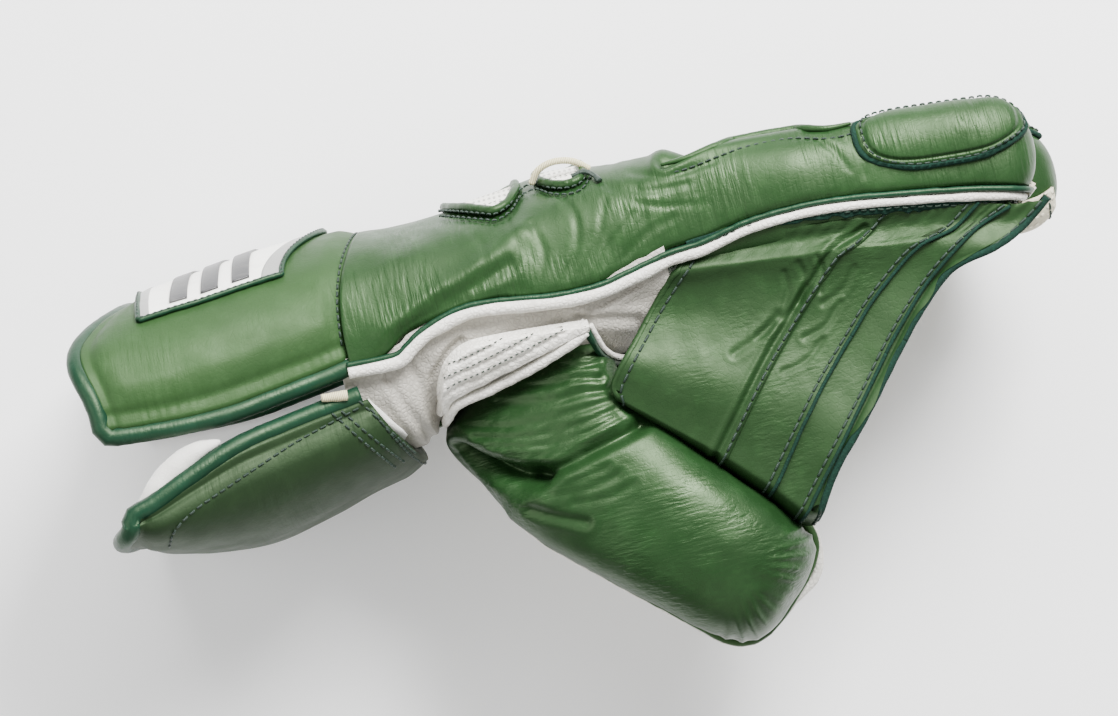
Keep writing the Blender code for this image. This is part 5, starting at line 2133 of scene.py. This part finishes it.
@dataclass
class Web:
    """The leather webbing between index finger and thumb, made in two halves that meet in the middle."""

    along: int = 200
    across: int = 220
    thickness: float = 2.2
    lap: int = 7
    lap_drop: float = 1.3
    neutral: float = 5.0
    bent: float = 24.0
    share: Array = field(init=False)
    place: Array = field(init=False)
    skin: Skin = field(init=False)

    def __post_init__(self) -> None:
        """Lofts the web between its seams."""
        self.share = np.linspace(0.0, 1.0, self.along)[:, None]
        self.place = np.linspace(0.0, 1.0, self.across)[None, :]
        rails = np.array([curve(rail.route, self.along) for rail in RAILS])
        places = [rail.place for rail in RAILS]
        flat = np.empty((self.along, self.across, 2))
        for k in range(2):
            for row in range(self.along):
                flat[row, :, k] = np.interp(self.place[0], places, rails[:, row, k])
        self.skin = self.shape(flat)

    def shape(self, flat: Array) -> Skin:
        """Lifts the plan into leather with lapped bands, folds and pleats.

        Args:
            flat: the plan's grid of XY points.

        Returns:
            The surface.
        """
        t, g = self.share, self.place
        level = 98.0 + 3.4 * np.exp(-(((t - 0.75) / 0.15) ** 2)) + 2.8 * np.exp(-(((t - 0.17) / 0.08) ** 2)) - 1.2 * g
        level = level - 1.6 * np.exp(-(((t - 0.42) / 0.14) ** 2)) * (1 - g)
        level = level + 3.0 * np.exp(-((t / 0.05) ** 2)) * (1 - 0.4 * g) - 11.0 * smooth(0.95, 1.0, t) ** 1.4
        for low, high, rise in ((0.0, 0.52, 0.5), (0.52, 0.72, 0.9), (0.72, 0.88, 0.9), (0.88, 1.0, 0.5)):
            ramp = smooth(low, high, g) * rise
            level = level + np.where((g >= low) & (g < high), ramp, 0.0)
        skin = Skin(np.concatenate([flat, np.broadcast_to(level, flat.shape[:2])[..., None]], axis=-1),
                    (0.0, 0.0, 1.0))
        points = skin.points
        height = folded(points, WEB_FOLDS) + 0.7 * noise(points, 24.0, 121) + 0.16 * noise(points, (5.0, 9.0, 9.0), 122)
        gather = np.exp(-((t / 0.09) ** 2)) * smooth(0.02, 0.1, g)
        height = height + 0.14 * gather * np.sin(g * 130.0 + 2.5 * noise(points, 14.0, 123))
        height = height - 0.9 * np.exp(-((g / 0.006) ** 2)) - 0.9 * np.exp(-(((1 - g) / 0.006) ** 2))
        return skin.raised(height)

    def rows_to(self, side: WebSide) -> slice:
        """The rows of one half."""
        middle = self.along // 2
        return slice(0, middle + 1) if side is WebSide.INDEX else slice(middle, self.along)

    def crossing(self, side: WebSide) -> Crossing:
        """The joint that one half crosses, towards its finger.

        Args:
            side: the half.

        Returns:
            The joint it crosses.
        """
        turn, body = (1.0, BodyName.INDEX) if side is WebSide.INDEX else (-1.0, BodyName.THUMB)
        near = MIDDLE_OF_WEB + ACROSS_WEB * self.neutral * turn
        far = MIDDLE_OF_WEB + ACROSS_WEB * self.bent * turn
        return Crossing(body, (near[0], near[1], 98.0), (far[0], far[1], 98.0))

    def build(self) -> None:
        """Makes both halves with their welts and stitching."""
        cuts = [0, *(int(round(rail.place * (self.across - 1))) for rail in RAILS[1:])]
        for side in WebSide:
            rows = self.rows_to(side)
            crossing = self.crossing(side)
            bands = list(zip(cuts[:-1], cuts[1:]))
            names = [f"web_{place}_{side.value}_leaf" for place in ("inner", "middle", "outer")] + [None]
            for k, ((low, high), node) in enumerate(zip(bands, names)):
                band = self.band(rows, low, high)
                piece = shell(f"web_{side.value}_band_{k}", band, self.thickness, LOOKS.web, on=crossing,
                              stands_for=(node,) if node else ())
                shade_like(piece, band)
            self.sew(side, rows, crossing, cuts)

    def band(self, rows: slice, low: int, high: int) -> Skin:
        """One band of the web, its far edge tucked below the next band.

        Args:
            rows: the rows of its half.
            low: its first column.
            high: the column of its far seam.

        Returns:
            The surface.
        """
        last = min(high + self.lap, self.across)
        band = Skin(self.skin.points[rows, low:last].copy(), (0.0, 0.0, 1.0))
        band.normals = self.skin.normals[rows, low:last]
        if high < self.across - 1:
            band.points[:, high - low :, 2] -= self.lap_drop
        return band

    def sew(self, side: WebSide, rows: slice, crossing: Crossing, cuts: Sequence[int]) -> None:
        """Dark welts along the seams and the rows of stitches beside them.

        Args:
            side: the half.
            rows: its rows.
            crossing: the joint it crosses.
            cuts: the columns of the seams.
        """
        points, normals = self.skin.points[rows], self.skin.normals[rows]
        for k, column in enumerate(cuts[2:4]):
            route = points[:, column - 1] + normals[:, column - 1] * 0.1
            roll(f"web_{side.value}_welt_{k}", curve(route[::4], 90), 0.6, LOOKS.suede, 8, pucker=0.08,
                 on=crossing)
        for name, column in (("inner_edge", 1), ("outer_edge", self.across - 2)):
            route = points[:, column] - normals[:, column] * 0.7
            look = LOOKS.web if name == "inner_edge" else LOOKS.dark_suede
            roll(f"web_{side.value}_{name}", curve(route[::4], 90), 1.2, look, 10, pucker=0.06, on=crossing)
        columns = (int(0.045 * self.across), cuts[1] - 3, cuts[2] - 6, cuts[3] - 6, self.across - 7)
        for k, column in enumerate(columns):
            lift = normals[:, column] * 0.12
            stitches(f"web_{side.value}_stitches_{k}", points[:, column] + lift, normals[:, column],
                     Thread(3.4, 2.9, 0.42), on=crossing)


# ---------------------------------------------------------------- studio
FLOOR_HALF = 3.0


def build_floor() -> None:
    """A plain pale floor under the glove, lit a little from within so that it stays nearly white."""
    mesh = bpy.data.meshes.new("floor")
    half = FLOOR_HALF
    mesh.from_pydata([(-half, -half, 0), (half, -half, 0), (half, half, 0), (-half, half, 0)], [], [(0, 1, 2, 3)])
    floor = bpy.data.objects.new("floor", mesh)
    bpy.context.scene.collection.objects.link(floor)
    recipe = Recipe("White seamless floor")
    mesh.materials.append(recipe.finish(Base_Color=linear("f7f7f7"), Roughness=0.9, Emission_Strength=0.14,
                                        Emission_Color=(1.0, 1.0, 1.0, 1.0)))


@dataclass(frozen=True)
class SoftBox:
    """One soft area light: where it stands, its size in metres and its power in watts."""

    name: str
    place: tuple[float, float, float]
    size: float
    power: float

    def build(self) -> None:
        """Adds the light, aimed at the glove."""
        data = bpy.data.lights.new(self.name, "AREA")
        data.shape = "SQUARE"
        data.size = self.size
        data.energy = self.power
        light = bpy.data.objects.new(self.name, data)
        light.location = self.place
        aim = Vector((0.0, 0.0, 0.06)) - Vector(self.place)
        light.rotation_euler = aim.to_track_quat("-Z", "Y").to_euler()
        bpy.context.scene.collection.objects.link(light)


@dataclass
class Studio:
    """Floor, soft lights, pale surroundings and the camera above the thumb side. Sizes in metres."""

    boxes: tuple[SoftBox, ...] = (
        SoftBox("key_light", (0.45, 0.62, 0.8), 0.42, 38.0),
        SoftBox("back_light", (0.0, 1.05, 0.9), 0.9, 20.0),
        SoftBox("left_light", (-0.95, 0.1, 0.9), 0.9, 8.0),
        SoftBox("front_light", (0.1, -1.0, 1.0), 1.1, 4.0),
    )
    surroundings: float = 0.5
    lens: float = 121.5
    looked_at: Point = (151.1, -15.0)
    camera_height: float = 1.285
    camera_turn: float = -13.0

    def build(self) -> None:
        """Makes the studio."""
        build_floor()
        for box in self.boxes:
            box.build()
        world = bpy.data.worlds.new("Pale studio")
        world.use_nodes = True
        background = world.node_tree.nodes["Background"]
        background.inputs["Color"].default_value = (1.0, 1.0, 1.0, 1.0)
        background.inputs["Strength"].default_value = self.surroundings
        bpy.context.scene.world = world
        self.build_camera()

    def build_camera(self) -> None:
        """Adds the camera, straight above the glove."""
        data = bpy.data.cameras.new("camera")
        data.lens = self.lens
        data.sensor_width = 36.0
        data.clip_end = 20.0
        camera = bpy.data.objects.new("camera", data)
        x, y, _ = LAYOUT.spot(*self.looked_at, 0.0)
        camera.location = (x, y, self.camera_height)
        camera.rotation_euler = (0.0, 0.0, math.radians(self.camera_turn))
        bpy.context.scene.collection.objects.link(camera)
        bpy.context.scene.camera = camera


def main() -> None:
    logging.basicConfig(level=logging.INFO)
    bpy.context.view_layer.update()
    stalls = (Stall(INDEX, 36.0, (26.5, 37.0)), Stall(MIDDLE), Stall(RING), Stall(LITTLE))
    for assembly in (Studio(), Gauntlet(), BackOfHand(), ThumbSide(), Palm(), *stalls, Thumb(), Web()):
        before = set(bpy.data.objects.keys())
        assembly.build()
        for name in sorted(set(bpy.data.objects.keys()) - before):
            LOG.info("%s: %s", type(assembly).__name__, name)


if __name__ == "__main__":
    main()
